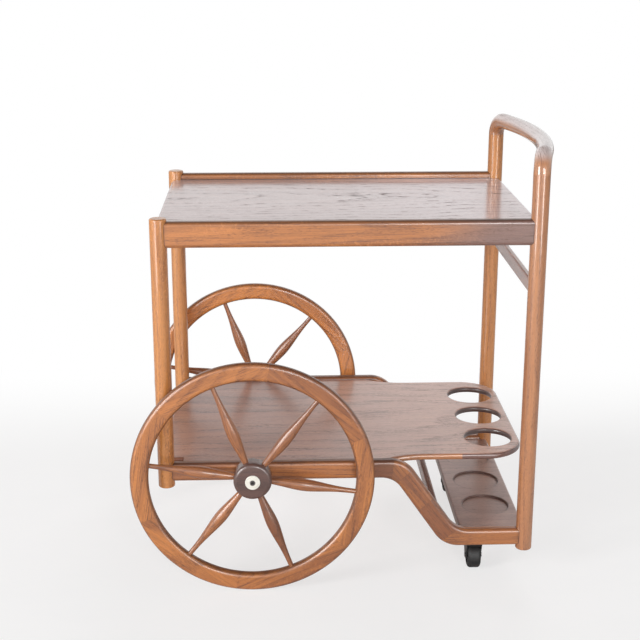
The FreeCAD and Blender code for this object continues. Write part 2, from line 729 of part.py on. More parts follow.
def build_frame_dowels():
    """Dowels of every rail end, and the holes that they stand in."""
    spots = []
    for side in SIDES:
        y = signed(side, "post_y")
        for end in ("left", "right"):
            for level in ("top_dowel_low", "top_dowel_high"):
                spots.append((f"{end}_dowel_x", y, level, ALONG_X))
        spots.append(("left_dowel_x", y, "side_dowel_upper", ALONG_X))
        spots.append(("right_dowel_x", y, "side_dowel_lower", ALONG_X))
        for x, start, level in (("right_post_x", "cross_dowel_y", "cross_dowel_upper"),
                                ("lower_cross_rail_x", "low_cross_dowel_y", "cross_dowel_lower")):
            turn = ALONG_Y if side == "back" else ALONG_Y.inverted()
            spots.append((x, signed(side, start), level, turn))
    dowels = []
    holes = []
    for count, (x, y, z, turn) in enumerate(spots, start=1):
        dowels.append(cylinder(f"frame_dowel_{count}", "dowel_radius", "dowel_length", x, y, z, turn))
        hole = cylinder(f"dowel_hole_{count}", "dowel_hole_radius", "dowel_hole_length", x, y, z, turn)
        axis = turn.multVec(FreeCAD.Vector(0, 0, 1))
        for letter, share, name in zip("xyz", axis, (x, y, z)):
            if abs(share) > 0.5:
                sign = "-" if share > 0 else "+"
                hole.setExpression(f"Placement.Base.{letter}", f"{bound(name)} {sign} Sizes.axial_gap")
        holes.append(hole)
    node(compound("frame_dowels", dowels), "frame_dowels")
    return compound("dowel_holes", holes)


def build_handle_dowels():
    """Dowels between the right posts and the push bar, and their holes."""
    dowels = []
    holes = []
    for side in SIDES:
        y = signed(side, "post_y")
        dowels.append(cylinder(f"handle_dowel_{side}", "handle_dowel_radius", "handle_dowel_length",
                               "right_post_x", y, "handle_dowel_bottom"))
        holes.append(cylinder(f"handle_dowel_hole_{side}", "handle_dowel_hole_radius",
                              "handle_dowel_hole_length", "right_post_x", y, "handle_dowel_hole_bottom"))
    node(compound("handle_dowels", dowels), "handle_dowels")
    return compound("handle_dowel_holes", holes)


def build_posts(dowel_holes, handle_dowel_holes):
    """Four round posts with softened ends, drilled for their dowels."""
    for side in SIDES:
        left = turned_body(f"left_post_{side}_bar", "XZ_Plane",
                           bar_points("left_post_radius", "left_post_bottom", "left_post_top"))
        round_edges(left, f"left_post_{side}_ends",
                    lambda edge: in_plane(edge, 2, "left_post_bottom") or in_plane(edge, 2, "left_post_top"),
                    "post_end_round")
        place(left, "left_post_x", signed(side, "post_y"))
        node(cut(f"post_{side}_left", left, dowel_holes), f"post_{side}_left")
        right = turned_body(f"right_post_{side}_bar", "XZ_Plane",
                            bar_points("right_post_radius", "right_post_bottom", "handle_start"))
        round_edges(right, f"right_post_{side}_foot",
                    lambda edge: in_plane(edge, 2, "right_post_bottom"), "post_end_round")
        place(right, "right_post_x", signed(side, "post_y"))
        drilled = cut(f"right_post_{side}_drilled", right, dowel_holes)
        node(cut(f"post_{side}_right", drilled, handle_dowel_holes), f"post_{side}_right")


def build_handle_bar(handle_dowel_holes):
    """Push bar: one long arc that bows outwards and two bent corners down to the posts."""
    splay = number("handle_splay_angle")
    bow = doc.addObject("Part::Torus", "handle_bow_arc")
    bind(bow, Radius1="handle_arc_radius", Radius2="handle_radius")
    bind(bow, Angle3="handle_sweep_angle")
    place(bow, "handle_arc_x", "zero", "handle_height", FreeCAD.Rotation(-splay, 0, 0))
    pieces = [bow]
    for side, sign in SIDES.items():
        corner = doc.addObject("Part::Torus", f"handle_corner_{side}")
        bind(corner, Radius1="handle_corner_radius", Radius2="handle_radius")
        corner.Angle3 = 90
        turn = FreeCAD.Rotation(sign * (90 + splay), 0, 90)
        place(corner, "handle_corner_x", signed(side, "handle_corner_y"), "handle_start", turn)
        pieces.append(corner)
    bar = doc.addObject("Part::MultiFuse", "handle_blank")
    bar.Shapes = pieces
    node(cut("handle_bar", bar, handle_dowel_holes), "handle_bar")


def build_grooves():
    """Cutters for the grooves that take the tongues of the three boards."""
    grooves = []
    for board in ("panel", "shelf", "tray"):
        for side in SIDES:
            box = doc.addObject("Part::Box", f"{board}_groove_{side}")
            bind(box, Length=board + "_groove_length", Width="groove_width", Height="groove_height")
            place(box, board + "_groove_left", f"groove_{side}_y", board + "_groove_bottom")
            grooves.append(box)
    return compound("board_grooves", grooves)


def build_top_rails(copes, dowel_holes, grooves):
    """Two flat rails along the top panel, coped round the posts."""
    for side in SIDES:
        body = new_body(f"top_rail_{side}_bar")
        sketch = new_sketch(body, f"top_rail_{side}_face", "XZ_Plane")
        add_outline(sketch, [("left_post_x", "top_rail_bottom"), ("right_post_x", "top_rail_bottom"),
                             ("right_post_x", "top_rail_top"), ("left_post_x", "top_rail_top")])
        pad(body, f"top_rail_{side}_stock", sketch, "rail_thickness", both_ways=True)
        round_edges(body, f"top_rail_{side}_edges", lambda edge: along(edge, 0), "rail_edge_round")
        place(body, y=signed(side, "post_y"))
        finish_piece(f"top_rail_{side}", body, [copes, dowel_holes, grooves])


def build_side_rails(copes, dowel_holes, grooves, insert_holes):
    """Two S-shaped rails: level at the axle, sloping down, and level again at the tray."""
    corners = [("bend", "bend_x", "side_rail_upper_top", "outer_bend_round"),
               ("foot", "foot_x", "side_rail_lower_top", "outer_foot_round"),
               ("under_bend", "under_bend_x", "side_rail_upper_bottom", "inner_bend_round"),
               ("under_foot", "under_foot_x", "side_rail_lower_bottom", "inner_foot_round")]
    for side in SIDES:
        body = new_body(f"side_rail_{side}_bar")
        sketch = new_sketch(body, f"side_rail_{side}_face", "XZ_Plane")
        add_outline(sketch, [
            ("left_post_x", "side_rail_upper_bottom"), ("under_bend_x", "side_rail_upper_bottom"),
            ("under_foot_x", "side_rail_lower_bottom"), ("right_post_x", "side_rail_lower_bottom"),
            ("right_post_x", "side_rail_lower_top"), ("foot_x", "side_rail_lower_top"),
            ("bend_x", "side_rail_upper_top"), ("left_post_x", "side_rail_upper_top")])
        pad(body, f"side_rail_{side}_stock", sketch, "rail_thickness", both_ways=True)
        for name, x, z, radius in corners:
            corner = FreeCAD.Vector(number(x), 0, number(z))
            round_corner(body, f"side_rail_{side}_{name}", 1, corner, radius)
        round_edges(body, f"side_rail_{side}_edges",
                    lambda edge: not along(edge, 1) and not along(edge, 2), "rail_edge_round")
        place(body, y=signed(side, "post_y"))
        finish_piece(f"side_rail_{side}", body, [copes, dowel_holes, grooves, insert_holes])


def build_cross_rails(copes, dowel_holes):
    """Two thin rails across the cart: one between the right posts, one between the side rails."""
    for name, x in (("upper", "right_post_x"), ("lower", "lower_cross_rail_x")):
        body = new_body(f"{name}_cross_rail_bar")
        sketch = new_sketch(body, f"{name}_cross_rail_section", "XZ_Plane")
        low, high = f"{name}_cross_rail_bottom", f"{name}_cross_rail_top"
        add_outline(sketch, [("-cross_rail_half", low), ("cross_rail_half", low),
                             ("cross_rail_half", high), ("-cross_rail_half", high)])
        pad(body, f"{name}_cross_rail_stock", sketch, f"{name}_cross_rail_length", both_ways=True)
        round_edges(body, f"{name}_cross_rail_edges", lambda edge: along(edge, 1), "cross_rail_round")
        place(body, x)
        finish_piece(f"{name}_cross_rail", body, [copes, dowel_holes])


def add_tongues(body, board):
    """Add the two tongues of a board, which run in the grooves of the rails."""
    for side in SIDES:
        sketch = new_sketch(body, f"{board}_tongue_{side}_plan", "XY_Plane", board + "_tongue_bottom")
        inner, outer = signed(side, "tongue_root_y"), signed(side, "tongue_tip_y")
        left, right = f"{board}_tongue_left", f"{board}_tongue_right"
        add_outline(sketch, [(left, inner), (right, inner), (right, outer), (left, outer)])
        pad(body, f"{board}_tongue_{side}", sketch, "tongue_thickness")


def on_faces(edge, board):
    """Say whether an edge lies in the top or bottom face of a board."""
    return in_plane(edge, 2, board + "_top") or in_plane(edge, 2, board + "_bottom")


def round_outline(body, name, board):
    """Round the whole outline of a board, above and below."""
    return round_edges(body, name, lambda edge: on_faces(edge, board), "board_edge_round")


def add_side_strips(body, board, left, right, height):
    """Bring a board's long edges back to square where they lie against the rails."""
    for side in SIDES:
        sketch = new_sketch(body, f"{board}_strip_{side}_plan", "XY_Plane", board + "_bottom")
        inner, outer = signed(side, "strip_y"), signed(side, "rail_inner_y")
        add_outline(sketch, [(left, inner), (right, inner), (right, outer), (left, outer)])
        pad(body, f"{board}_strip_{side}", sketch, height)


def build_top_panel(copes):
    """Top panel: a board between the top rails with rounded ends, coped round the posts."""
    body = new_body("top_panel_board")
    sketch = new_sketch(body, "top_panel_plan", "XY_Plane", "panel_bottom")
    add_outline(sketch, [("board_left_x", "-rail_inner_y"), ("board_right_x", "-rail_inner_y"),
                         ("board_right_x", "rail_inner_y"), ("board_left_x", "rail_inner_y")])
    pad(body, "top_panel_stock", sketch, "board_thickness")
    round_edges(body, "top_panel_corners", lambda edge: along(edge, 2), "board_corner_round")
    round_outline(body, "top_panel_edges", "panel")
    add_side_strips(body, "panel", "panel_strip_left", "panel_strip_right", "board_thickness")
    cope_sketch = new_sketch(body, "top_panel_cope_plan", "XY_Plane", "panel_bottom")
    for end in ("left", "right"):
        for side in SIDES:
            add_circle(cope_sketch, f"{end}_post_x", signed(side, "post_y"), f"{end}_cope_diameter")
    pocket(body, "top_panel_copes", cope_sketch)
    add_tongues(body, "panel")
    node(body, "top_panel")


def build_shelf():
    """Shelf: full width between the rails, narrower past them, with three bottle holes."""
    body = new_body("shelf_board")
    sketch = new_sketch(body, "shelf_plan", "XY_Plane", "shelf_bottom")
    add_outline(sketch, [
        ("board_left_x", "-shelf_neck_y"), ("shelf_notch_x", "-shelf_neck_y"),
        ("shelf_notch_x", "-rail_inner_y"), ("shoulder_start_x", "-rail_inner_y"),
        ("shoulder_end_x", "-shelf_neck_y"), ("shelf_round_x", "-shelf_neck_y"),
        ("shelf_end_x", "-shelf_round_y"), ("shelf_end_x", "shelf_round_y"),
        ("shelf_round_x", "shelf_neck_y"), ("shoulder_end_x", "shelf_neck_y"),
        ("shoulder_start_x", "rail_inner_y"), ("shelf_notch_x", "rail_inner_y"),
        ("shelf_notch_x", "shelf_neck_y"), ("board_left_x", "shelf_neck_y")],
        {3: ("shoulder_radius", -1), 5: ("shelf_end_round", 1),
         7: ("shelf_end_round", 1), 9: ("shoulder_radius", -1)})
    pad(body, "shelf_stock", sketch, "board_thickness")
    round_edges(body, "shelf_corners",
                lambda edge: along(edge, 2) and in_plane(edge, 0, "board_left_x"), "board_corner_round")
    held = ("shelf_notch_x", "rail_inner_y", "-rail_inner_y")
    round_edges(body, "shelf_edges",
                lambda edge: on_faces(edge, "shelf") and not in_plane(edge, 0, held[0])
                and not in_plane(edge, 1, held[1]) and not in_plane(edge, 1, held[2]),
                "board_edge_round")
    holes = new_sketch(body, "bottle_hole_plan", "XY_Plane", "shelf_bottom")
    for name in BOTTLE_PLACES:
        add_circle(holes, "bottle_x", name, "bottle_hole_diameter")
    pocket(body, "bottle_holes", holes)
    round_edges(body, "bottle_hole_edges",
                lambda edge: round_at(edge, "bottle_hole_radius"), "board_edge_round")
    add_tongues(body, "shelf")
    node(body, "shelf")


def build_bottle_tray(copes, screw_holes):
    """Bottle tray: a thick board with three shallow round seats below the bottle holes."""
    body = new_body("bottle_tray_board")
    sketch = new_sketch(body, "bottle_tray_plan", "XY_Plane", "tray_bottom")
    add_outline(sketch, [("tray_left_x", "-rail_inner_y"), ("tray_right_x", "-rail_inner_y"),
                         ("tray_right_x", "rail_inner_y"), ("tray_left_x", "rail_inner_y")])
    pad(body, "bottle_tray_stock", sketch, "tray_thickness")
    round_edges(body, "bottle_tray_edges", lambda edge: along(edge, 1), "tray_edge_round")
    seats = new_sketch(body, "bottle_seat_plan", "XY_Plane", "tray_top")
    for name in BOTTLE_PLACES:
        add_circle(seats, "bottle_x", name, "seat_diameter")
    pocket(body, "bottle_seats", seats, "seat_depth")
    round_edges(body, "bottle_seat_edges",
                lambda edge: in_plane(edge, 2, "tray_top") and round_at(edge, "seat_radius"), "seat_edge_round")
    add_tongues(body, "tray")
    finish_piece("bottle_tray", body, [copes, screw_holes])


def wheel_turn(side, number_of_step):
    """Turn about the axle for the given spoke, seen from the front and counted counter-clockwise."""
    angle = number(f"{side}_spoke_angle") - number_of_step * 360 / SPOKES
    return FreeCAD.Rotation(FreeCAD.Vector(0, 1, 0), angle)


def build_rim_segment(side, count):
    """One rim segment, centred on its spoke, with the spoke's socket and two dowel holes."""
    name = f"{side}_rim_segment_{count}"
    body = new_body(name)
    section = new_sketch(body, name + "_section", "XY_Plane")
    add_outline(section, [("rim_inner_radius", "-rim_half"), ("wheel_radius", "-rim_half"),
                          ("wheel_radius", "rim_half"), ("rim_inner_radius", "rim_half")])
    revolve(body, name + "_bow", section, angle=360 / SEGMENTS)
    round_edges(body, name + "_edges",
                lambda edge: round_at(edge, "rim_inner_radius") or round_at(edge, "wheel_radius"),
                "rim_edge_round")
    socket = new_sketch(body, name + "_socket_plan", "YZ_Plane")
    add_circle(socket, "zero", "zero", "spoke_tip_hole")
    pocket(body, name + "_socket", socket, "spoke_tip_end", backwards=True)
    for end, sign in (("low", 1), ("high", -1)):
        hole = new_sketch(body, f"{name}_{end}_plan", "XY_Plane")
        turn = FreeCAD.Rotation(FreeCAD.Vector(0, 1, 0), sign * 180 / SEGMENTS)
        hole.AttachmentOffset = FreeCAD.Placement(FreeCAD.Vector(), turn)
        add_circle(hole, "rim_middle_radius", "zero", "rim_dowel_hole")
        pocket(body, f"{name}_{end}_hole", hole, "rim_dowel_hole_depth", backwards=sign > 0)
    place(body, "axle_x", signed(side, "wheel_y"), "axle_height", wheel_turn(side, count - 1))
    node(body, name)


def build_spoke(side, count):
    """One turned spoke, lofted through its sections, with a tenon at each end."""
    name = f"{side}_spoke_{count}"
    body = new_body(name)
    sketches = []
    for section in SPOKE_SECTIONS:
        sketch = new_sketch(body, f"{name}_{section}", "YZ_Plane", f"spoke_{section}_x")
        add_circle(sketch, "zero", "zero", f"spoke_{section}_diameter")
        sketches.append(sketch)
    shaft = add_feature(body, "AdditiveLoft", name + "_shaft", sketches[0])
    shaft.Sections = sketches[1:]
    pad(body, name + "_root_tenon", sketches[0], "spoke_root_tenon", backwards=True)
    pad(body, name + "_tip_tenon", sketches[-1], "spoke_tip_tenon")
    place(body, "axle_x", signed(side, "wheel_y"), "axle_height", wheel_turn(side, count - 1))
    node(body, name)


def build_hub(side):
    """Turned hub with rounded edges, a bore for its bush and six spoke sockets."""
    name = f"{side}_hub"
    body = turned_body(name, "XY_Plane",
                       sleeve_points("hub_bore_radius", "hub_radius", "-hub_half", "hub_half"))
    round_edges(body, name + "_edges", lambda edge: round_at(edge, "hub_radius"), "hub_edge_round")
    plan = new_sketch(body, name + "_socket_plan", "YZ_Plane", "hub_radius")
    add_circle(plan, "zero", "zero", "spoke_root_hole")
    socket = pocket(body, name + "_socket", plan, "spoke_root_depth")
    ring = body.newObject("PartDesign::PolarPattern", name + "_sockets")
    ring.Originals = [socket]
    ring.Axis = (origin_part(body, "Y_Axis"), [""])
    ring.Angle = 360
    ring.Occurrences = SPOKES
    body.Tip = ring
    place(body, "axle_x", signed(side, "wheel_y"), "axle_height", wheel_turn(side, 0))
    node(body, name)


def build_rim_dowels(side):
    """Dowels across the joints of a rim, as one group."""
    dowels = []
    for count in range(SEGMENTS):
        turn = wheel_turn(side, count + 0.5)
        radius = turn.multVec(FreeCAD.Vector(1, 0, 0))
        tangent = turn.multVec(FreeCAD.Vector(0, 0, 1))
        dowel = doc.addObject("Part::Cylinder", f"{side}_rim_dowel_{count + 1}")
        bind(dowel, Radius="rim_dowel_radius", Height="rim_dowel_length")
        place(dowel, "axle_x", signed(side, "wheel_y"), "axle_height", turn)
        for letter, centre, out, back in (("x", "axle_x", radius.x, tangent.x),
                                          ("z", "axle_height", radius.z, tangent.z)):
            dowel.setExpression(f"Placement.Base.{letter}",
                                f"Sizes.{centre} + {out} * Sizes.rim_middle_radius"
                                f" - {back} * Sizes.rim_dowel_length / 2")
        dowels.append(dowel)
    node(compound(f"{side}_rim_dowels", dowels), f"{side}_rim_dowels")


def build_wheel(side):
    """One large wheel: six rim segments, six spokes, rim dowels, hub and bush."""
    for count in range(1, SEGMENTS + 1):
        build_rim_segment(side, count)
    for count in range(1, SPOKES + 1):
        build_spoke(side, count)
    build_hub(side)
    bush = turned_body(f"{side}_bush", "XY_Plane",
                       sleeve_points("bush_bore_radius", "bush_radius", "-hub_half", "hub_half"))
    place(bush, "axle_x", signed(side, "wheel_y"), "axle_height")
    node(bush, f"{side}_bush")
    build_rim_dowels(side)


def build_bolt(side):
    """Shoulder bolt with a round head, a recess and a six-sided socket; it points outwards along Y."""
    name = f"axle_bolt_{side}"
    body = turned_body(name, "XY_Plane", [
        ("zero", "-bolt_length"), ("thread_radius", "-bolt_length"),
        ("thread_radius", "-bolt_shoulder"), ("axle_radius", "-bolt_shoulder"), ("axle_radius", "zero"),
        ("bolt_head_radius", "zero"), ("bolt_head_radius", "bolt_flange_thickness"),
        ("bolt_boss_radius", "bolt_flange_thickness"), ("bolt_boss_radius", "bolt_head_thickness"),
        ("zero", "bolt_head_thickness")])
    round_edges(body, name + "_flange",
                lambda edge: in_plane(edge, 1, "bolt_flange_thickness")
                and round_at(edge, "bolt_head_radius"), "bolt_flange_round")
    round_edges(body, name + "_boss", lambda edge: in_plane(edge, 1, "bolt_head_thickness"), "bolt_boss_round")
    recess = new_sketch(body, name + "_recess_plan", "XZ_Plane", "-bolt_head_thickness")
    add_circle(recess, "zero", "zero", "bolt_recess_diameter")
    pocket(body, name + "_recess", recess, "bolt_recess_depth", backwards=True)
    socket = new_sketch(body, name + "_socket_plan", "XZ_Plane", "-bolt_recess_floor")
    corner, edge, half = "bolt_socket_corner", "bolt_socket_edge", "bolt_socket_half"
    add_outline(socket, [(corner, "zero"), (edge, half), ("-" + edge, half),
                         ("-" + corner, "zero"), ("-" + edge, "-" + half), (edge, "-" + half)])
    pocket(body, name + "_socket", socket, "bolt_socket_depth", backwards=True)
    return place(body, "axle_x", signed(side, "bolt_head_y"), "axle_height",
                 FreeCAD.Rotation() if side == "back" else ABOUT)


def build_axle_fixings():
    """Bolts, threaded sleeves and spacer rings of both wheels, and the holes for the sleeves."""
    bolts = []
    inserts = []
    spacers = []
    holes = []
    for side in SIDES:
        turn = ALONG_Y.inverted() if side == "back" else ALONG_Y
        bolts.append(build_bolt(side))
        insert = turned_body(f"axle_insert_{side}", "XY_Plane",
                             sleeve_points("insert_bore_radius", "insert_radius", "-insert_length", "zero"))
        spacer = turned_body(f"axle_spacer_{side}", "XY_Plane",
                             sleeve_points("spacer_bore_radius", "spacer_radius", "zero", "spacer_length"))
        for piece in (insert, spacer):
            place(piece, "axle_x", signed(side, "rail_outer_y"), "axle_height",
                  FreeCAD.Rotation() if side == "back" else ABOUT)
        inserts.append(insert)
        spacers.append(spacer)
        hole = cylinder(f"insert_hole_{side}", "insert_hole_radius", "insert_hole_length",
                        "axle_x", signed(side, "insert_hole_y"), "axle_height", turn)
        holes.append(hole)
    node(compound("axle_bolts", bolts), "axle_bolts")
    node(compound("axle_inserts", inserts), "axle_inserts")
    node(compound("axle_spacers", spacers), "axle_spacers")
    return compound("insert_holes", holes)


def build_caster_plate(side):
    """Caster plate with its ball race housing, a kingpin hole and four screw holes."""
    name = f"{side}_caster_plate"
    body = new_body(name)
    plan = new_sketch(body, name + "_plan", "XY_Plane", "plate_bottom")
    add_outline(plan, [("-plate_half", "-plate_half"), ("plate_half", "-plate_half"),
                       ("plate_half", "plate_half"), ("-plate_half", "plate_half")])
    pad(body, name + "_sheet", plan, "plate_thickness")
    round_edges(body, name + "_corners", lambda edge: along(edge, 2), "plate_corner_round")
    race = new_sketch(body, name + "_race_plan", "XY_Plane", "plate_bottom")
    add_circle(race, "zero", "zero", "race_diameter")
    pad(body, name + "_race", race, "race_height", backwards=True)
    round_edges(body, name + "_race_edge", lambda edge: in_plane(edge, 2, "race_bottom"), "race_edge_round")
    holes = new_sketch(body, name + "_hole_plan", "XY_Plane", "plate_bottom")
    add_circle(holes, "zero", "zero", "kingpin_hole_diameter")
    for x in ("-screw_offset", "screw_offset"):
        for y in ("-screw_offset", "screw_offset"):
            add_circle(holes, x, y, "screw_hole_diameter")
    pocket(body, name + "_holes", holes)
    collar = new_sketch(body, name + "_collar_plan", "XY_Plane", "tray_bottom")
    add_circle(collar, "zero", "zero", "kingpin_collar_hole")
    pocket(body, name + "_collar_seat", collar, "kingpin_collar_thickness")
    place(body, "caster_x", signed(side, "caster_y"))
    node(body, name)


def build_caster_fork(side):
    """Caster fork: two cheeks that trail from the swivel to the axle, joined by a hood over the wheel."""
    name = f"{side}_caster_fork"
    body = new_body(name)
    cheek = new_sketch(body, name + "_cheek", "YZ_Plane")
    add_outline(cheek, [
        ("-fork_eye_front", "fork_eye_bottom"), ("-fork_eye_back", "fork_eye_bottom"),
        ("fork_back_width", "fork_shoulder"), ("fork_back_width", "fork_top"),
        ("-fork_front_width", "fork_top"), ("-fork_hood_front", "fork_hood_shoulder"),
        ("-fork_eye_front", "fork_eye_top")])
    pad(body, name + "_block", cheek, "fork_width", both_ways=True)
    for count, (y, z) in enumerate((("-fork_eye_front", "fork_eye_bottom"),
                                    ("-fork_eye_back", "fork_eye_bottom")), start=1):
        corner = FreeCAD.Vector(0, number(y), number(z))
        round_corner(body, f"{name}_eye_{count}", 0, corner, "fork_eye_round")
    round_edges(body, name + "_outside",
                lambda edge: in_plane(edge, 0, "fork_half") or in_plane(edge, 0, "-fork_half"),
                "fork_edge_round")
    slot = new_sketch(body, name + "_slot_plan", "YZ_Plane", "-fork_slot_half")
    add_circle(slot, "-caster_trail", "caster_axle_height", "fork_slot_diameter")
    pocket(body, name + "_slot", slot, "fork_slot_width", backwards=True)
    bore = new_sketch(body, name + "_bore_plan", "XY_Plane", "fork_top")
    add_circle(bore, "zero", "zero", "kingpin_bore_diameter")
    pocket(body, name + "_bore", bore, "kingpin_bore_depth")
    eye = new_sketch(body, name + "_eye_plan", "YZ_Plane")
    add_circle(eye, "-caster_trail", "caster_axle_height", "caster_pin_hole")
    pocket(body, name + "_pin_hole", eye)
    place(body, "caster_x", signed(side, "caster_y"))
    node(body, name)


def build_caster_wheel(side):
    """Caster wheel: rounded tread, dished faces and a raised boss round the bore."""
    name = f"{side}_caster_wheel"
    body = turned_body(name, "XY_Plane", [
        ("-caster_half_width", "caster_bore_radius"), ("caster_half_width", "caster_bore_radius"),
        ("caster_half_width", "caster_hub_radius"), ("caster_dish_floor", "caster_hub_radius"),
        ("caster_dish_floor", "caster_dish_radius"), ("caster_half_width", "caster_dish_radius"),
        ("caster_half_width", "caster_axle_height"), ("-caster_half_width", "caster_axle_height"),
        ("-caster_half_width", "caster_dish_radius"), ("-caster_dish_floor", "caster_dish_radius"),
        ("-caster_dish_floor", "caster_hub_radius"), ("-caster_half_width", "caster_hub_radius")],
        axis="H_Axis")
    round_edges(body, name + "_tread",
                lambda edge: round_at(edge, "caster_axle_height"), "caster_tread_round")
    place(body, "caster_x", f"caster_{side}_wheel_y", "caster_axle_height")
    node(body, name)


def build_caster_pins(side):
    """Axle pin with two heads, and the kingpin that the fork turns on."""
    axle = turned_body(f"{side}_caster_axle", "XY_Plane", [
        ("-caster_pin_end", "zero"), ("caster_pin_end", "zero"), ("caster_pin_end", "caster_hub_radius"),
        ("fork_half", "caster_hub_radius"), ("fork_half", "caster_pin_radius"),
        ("-fork_half", "caster_pin_radius"), ("-fork_half", "caster_hub_radius"),
        ("-caster_pin_end", "caster_hub_radius")], axis="H_Axis")
    place(axle, "caster_x", f"caster_{side}_wheel_y", "caster_axle_height")
    node(axle, f"{side}_caster_axle")
    kingpin = turned_body(f"{side}_caster_kingpin", "XZ_Plane", [
        ("zero", "kingpin_bottom"), ("kingpin_radius", "kingpin_bottom"),
        ("kingpin_radius", "kingpin_collar_bottom"), ("kingpin_collar_radius", "kingpin_collar_bottom"),
        ("kingpin_collar_radius", "tray_bottom"), ("zero", "tray_bottom")])
    place(kingpin, "caster_x", signed(side, "caster_y"))
    node(kingpin, f"{side}_caster_kingpin")


def build_caster_screws():
    """Eight pan-head screws that hold the caster plates to the tray, and their holes."""
    spots = [(f"screw_{end}_x", signed(side, f"screw_{row}_y"))
             for side in SIDES for end in ("left", "right") for row in ("inner", "outer")]
    screws = []
    holes = []
    for count, (x, y) in enumerate(spots, start=1):
        screw = turned_body(f"caster_screw_{count}", "XZ_Plane", [
            ("zero", "screw_head_bottom"), ("screw_head_radius", "screw_head_bottom"),
            ("screw_head_radius", "plate_bottom"), ("screw_radius", "plate_bottom"),
            ("screw_radius", "screw_tip"), ("zero", "screw_tip")])
        round_edges(screw, f"caster_screw_{count}_head",
                    lambda edge: in_plane(edge, 2, "screw_head_bottom"), "screw_head_round")
        screws.append(place(screw, x, y))
        holes.append(cylinder(f"caster_screw_hole_{count}", "screw_hole_radius", "screw_hole_length",
                              x, y, "plate_bottom"))
    node(compound("caster_screws", screws), "caster_screws")
    return compound("screw_holes", holes)


def build_casters():
    """Both swivel casters."""
    for side in SIDES:
        build_caster_plate(side)
        build_caster_fork(side)
        build_caster_wheel(side)
        build_caster_pins(side)


def write_nodes():
    """Check every object and every sub-part, then write one file for each sub-part."""
    doc.recompute()
    for thing in doc.Objects:
        if "Invalid" in thing.State or "Error" in thing.State:
            raise RuntimeError(f"{thing.Label} failed: {thing.State}")
    for piece in nodes:
        if piece.Shape.isNull() or not piece.Shape.isValid():
            raise RuntimeError("bad shape in " + piece.Label)
    os.makedirs("parts", exist_ok=True)
    for piece in nodes:
        piece.Shape.exportStep(os.path.join("parts", piece.Label + ".step"))


def main():
    """Build the whole cart."""
    fill_sheet()
    copes = build_post_copes()
    dowel_holes = build_frame_dowels()
    handle_dowel_holes = build_handle_dowels()
    grooves = build_grooves()
    build_posts(dowel_holes, handle_dowel_holes)
    build_handle_bar(handle_dowel_holes)
    build_top_rails(copes, dowel_holes, grooves)
    build_side_rails(copes, dowel_holes, grooves, build_axle_fixings())
    build_cross_rails(copes, dowel_holes)
    build_top_panel(copes)
    build_shelf()
    build_bottle_tray(copes, build_caster_screws())
    for side in SIDES:
        build_wheel(side)
    build_casters()
    write_nodes()


main()
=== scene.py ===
"""Dress the oak serving cart: the finish of every piece, its turned hubs, and the studio."""

import json
import logging
import math
from collections.abc import Mapping, Sequence
from dataclasses import dataclass, field
from enum import Enum
from typing import Any, ClassVar, Union

import bmesh
import bpy
from mathutils import Matrix, Vector


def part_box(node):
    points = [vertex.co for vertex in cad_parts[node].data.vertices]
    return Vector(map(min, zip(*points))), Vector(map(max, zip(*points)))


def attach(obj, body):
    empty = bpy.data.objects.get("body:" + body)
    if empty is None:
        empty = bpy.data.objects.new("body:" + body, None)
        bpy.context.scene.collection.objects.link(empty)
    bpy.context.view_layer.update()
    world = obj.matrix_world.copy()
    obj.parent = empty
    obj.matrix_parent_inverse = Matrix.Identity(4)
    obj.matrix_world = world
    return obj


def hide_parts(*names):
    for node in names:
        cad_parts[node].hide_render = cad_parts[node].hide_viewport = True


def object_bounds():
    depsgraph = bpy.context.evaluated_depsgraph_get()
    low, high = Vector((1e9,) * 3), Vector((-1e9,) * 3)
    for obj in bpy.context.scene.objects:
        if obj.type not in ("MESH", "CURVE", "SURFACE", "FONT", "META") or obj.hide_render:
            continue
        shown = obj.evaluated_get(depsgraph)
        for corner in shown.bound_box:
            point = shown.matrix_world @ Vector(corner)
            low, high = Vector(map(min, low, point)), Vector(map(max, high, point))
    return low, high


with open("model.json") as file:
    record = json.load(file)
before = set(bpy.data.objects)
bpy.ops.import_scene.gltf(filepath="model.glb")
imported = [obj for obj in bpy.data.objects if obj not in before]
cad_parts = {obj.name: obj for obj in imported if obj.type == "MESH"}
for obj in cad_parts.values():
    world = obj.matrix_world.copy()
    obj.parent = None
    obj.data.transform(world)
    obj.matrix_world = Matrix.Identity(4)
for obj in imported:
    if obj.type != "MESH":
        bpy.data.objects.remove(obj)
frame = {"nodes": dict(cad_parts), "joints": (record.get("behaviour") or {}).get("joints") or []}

LOG = logging.getLogger("serving_cart")
CAD_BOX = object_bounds()
SIDES = ("front", "back")
SPOKES = 6
HARD_EDGE = math.radians(40)
NOISE_MIDDLE = 0.5

Colour = tuple[float, float, float]
Number = Union["Value", float]
Span = tuple[float, float]
Socket = bpy.types.NodeSocket
Material = bpy.types.Material


class Direction(Enum):
    """Directions of the cart that a grain or an axis can follow."""

    LENGTHWISE = (1.0, 0.0, 0.0)
    CROSSWISE = (0.0, 1.0, 0.0)
    UPRIGHT = (0.0, 0.0, 1.0)

    def vector(self) -> Vector:
        """Return the direction as a vector."""
        return Vector(self.value)


LENGTHWISE, CROSSWISE, UPRIGHT = (way.vector() for way in Direction)


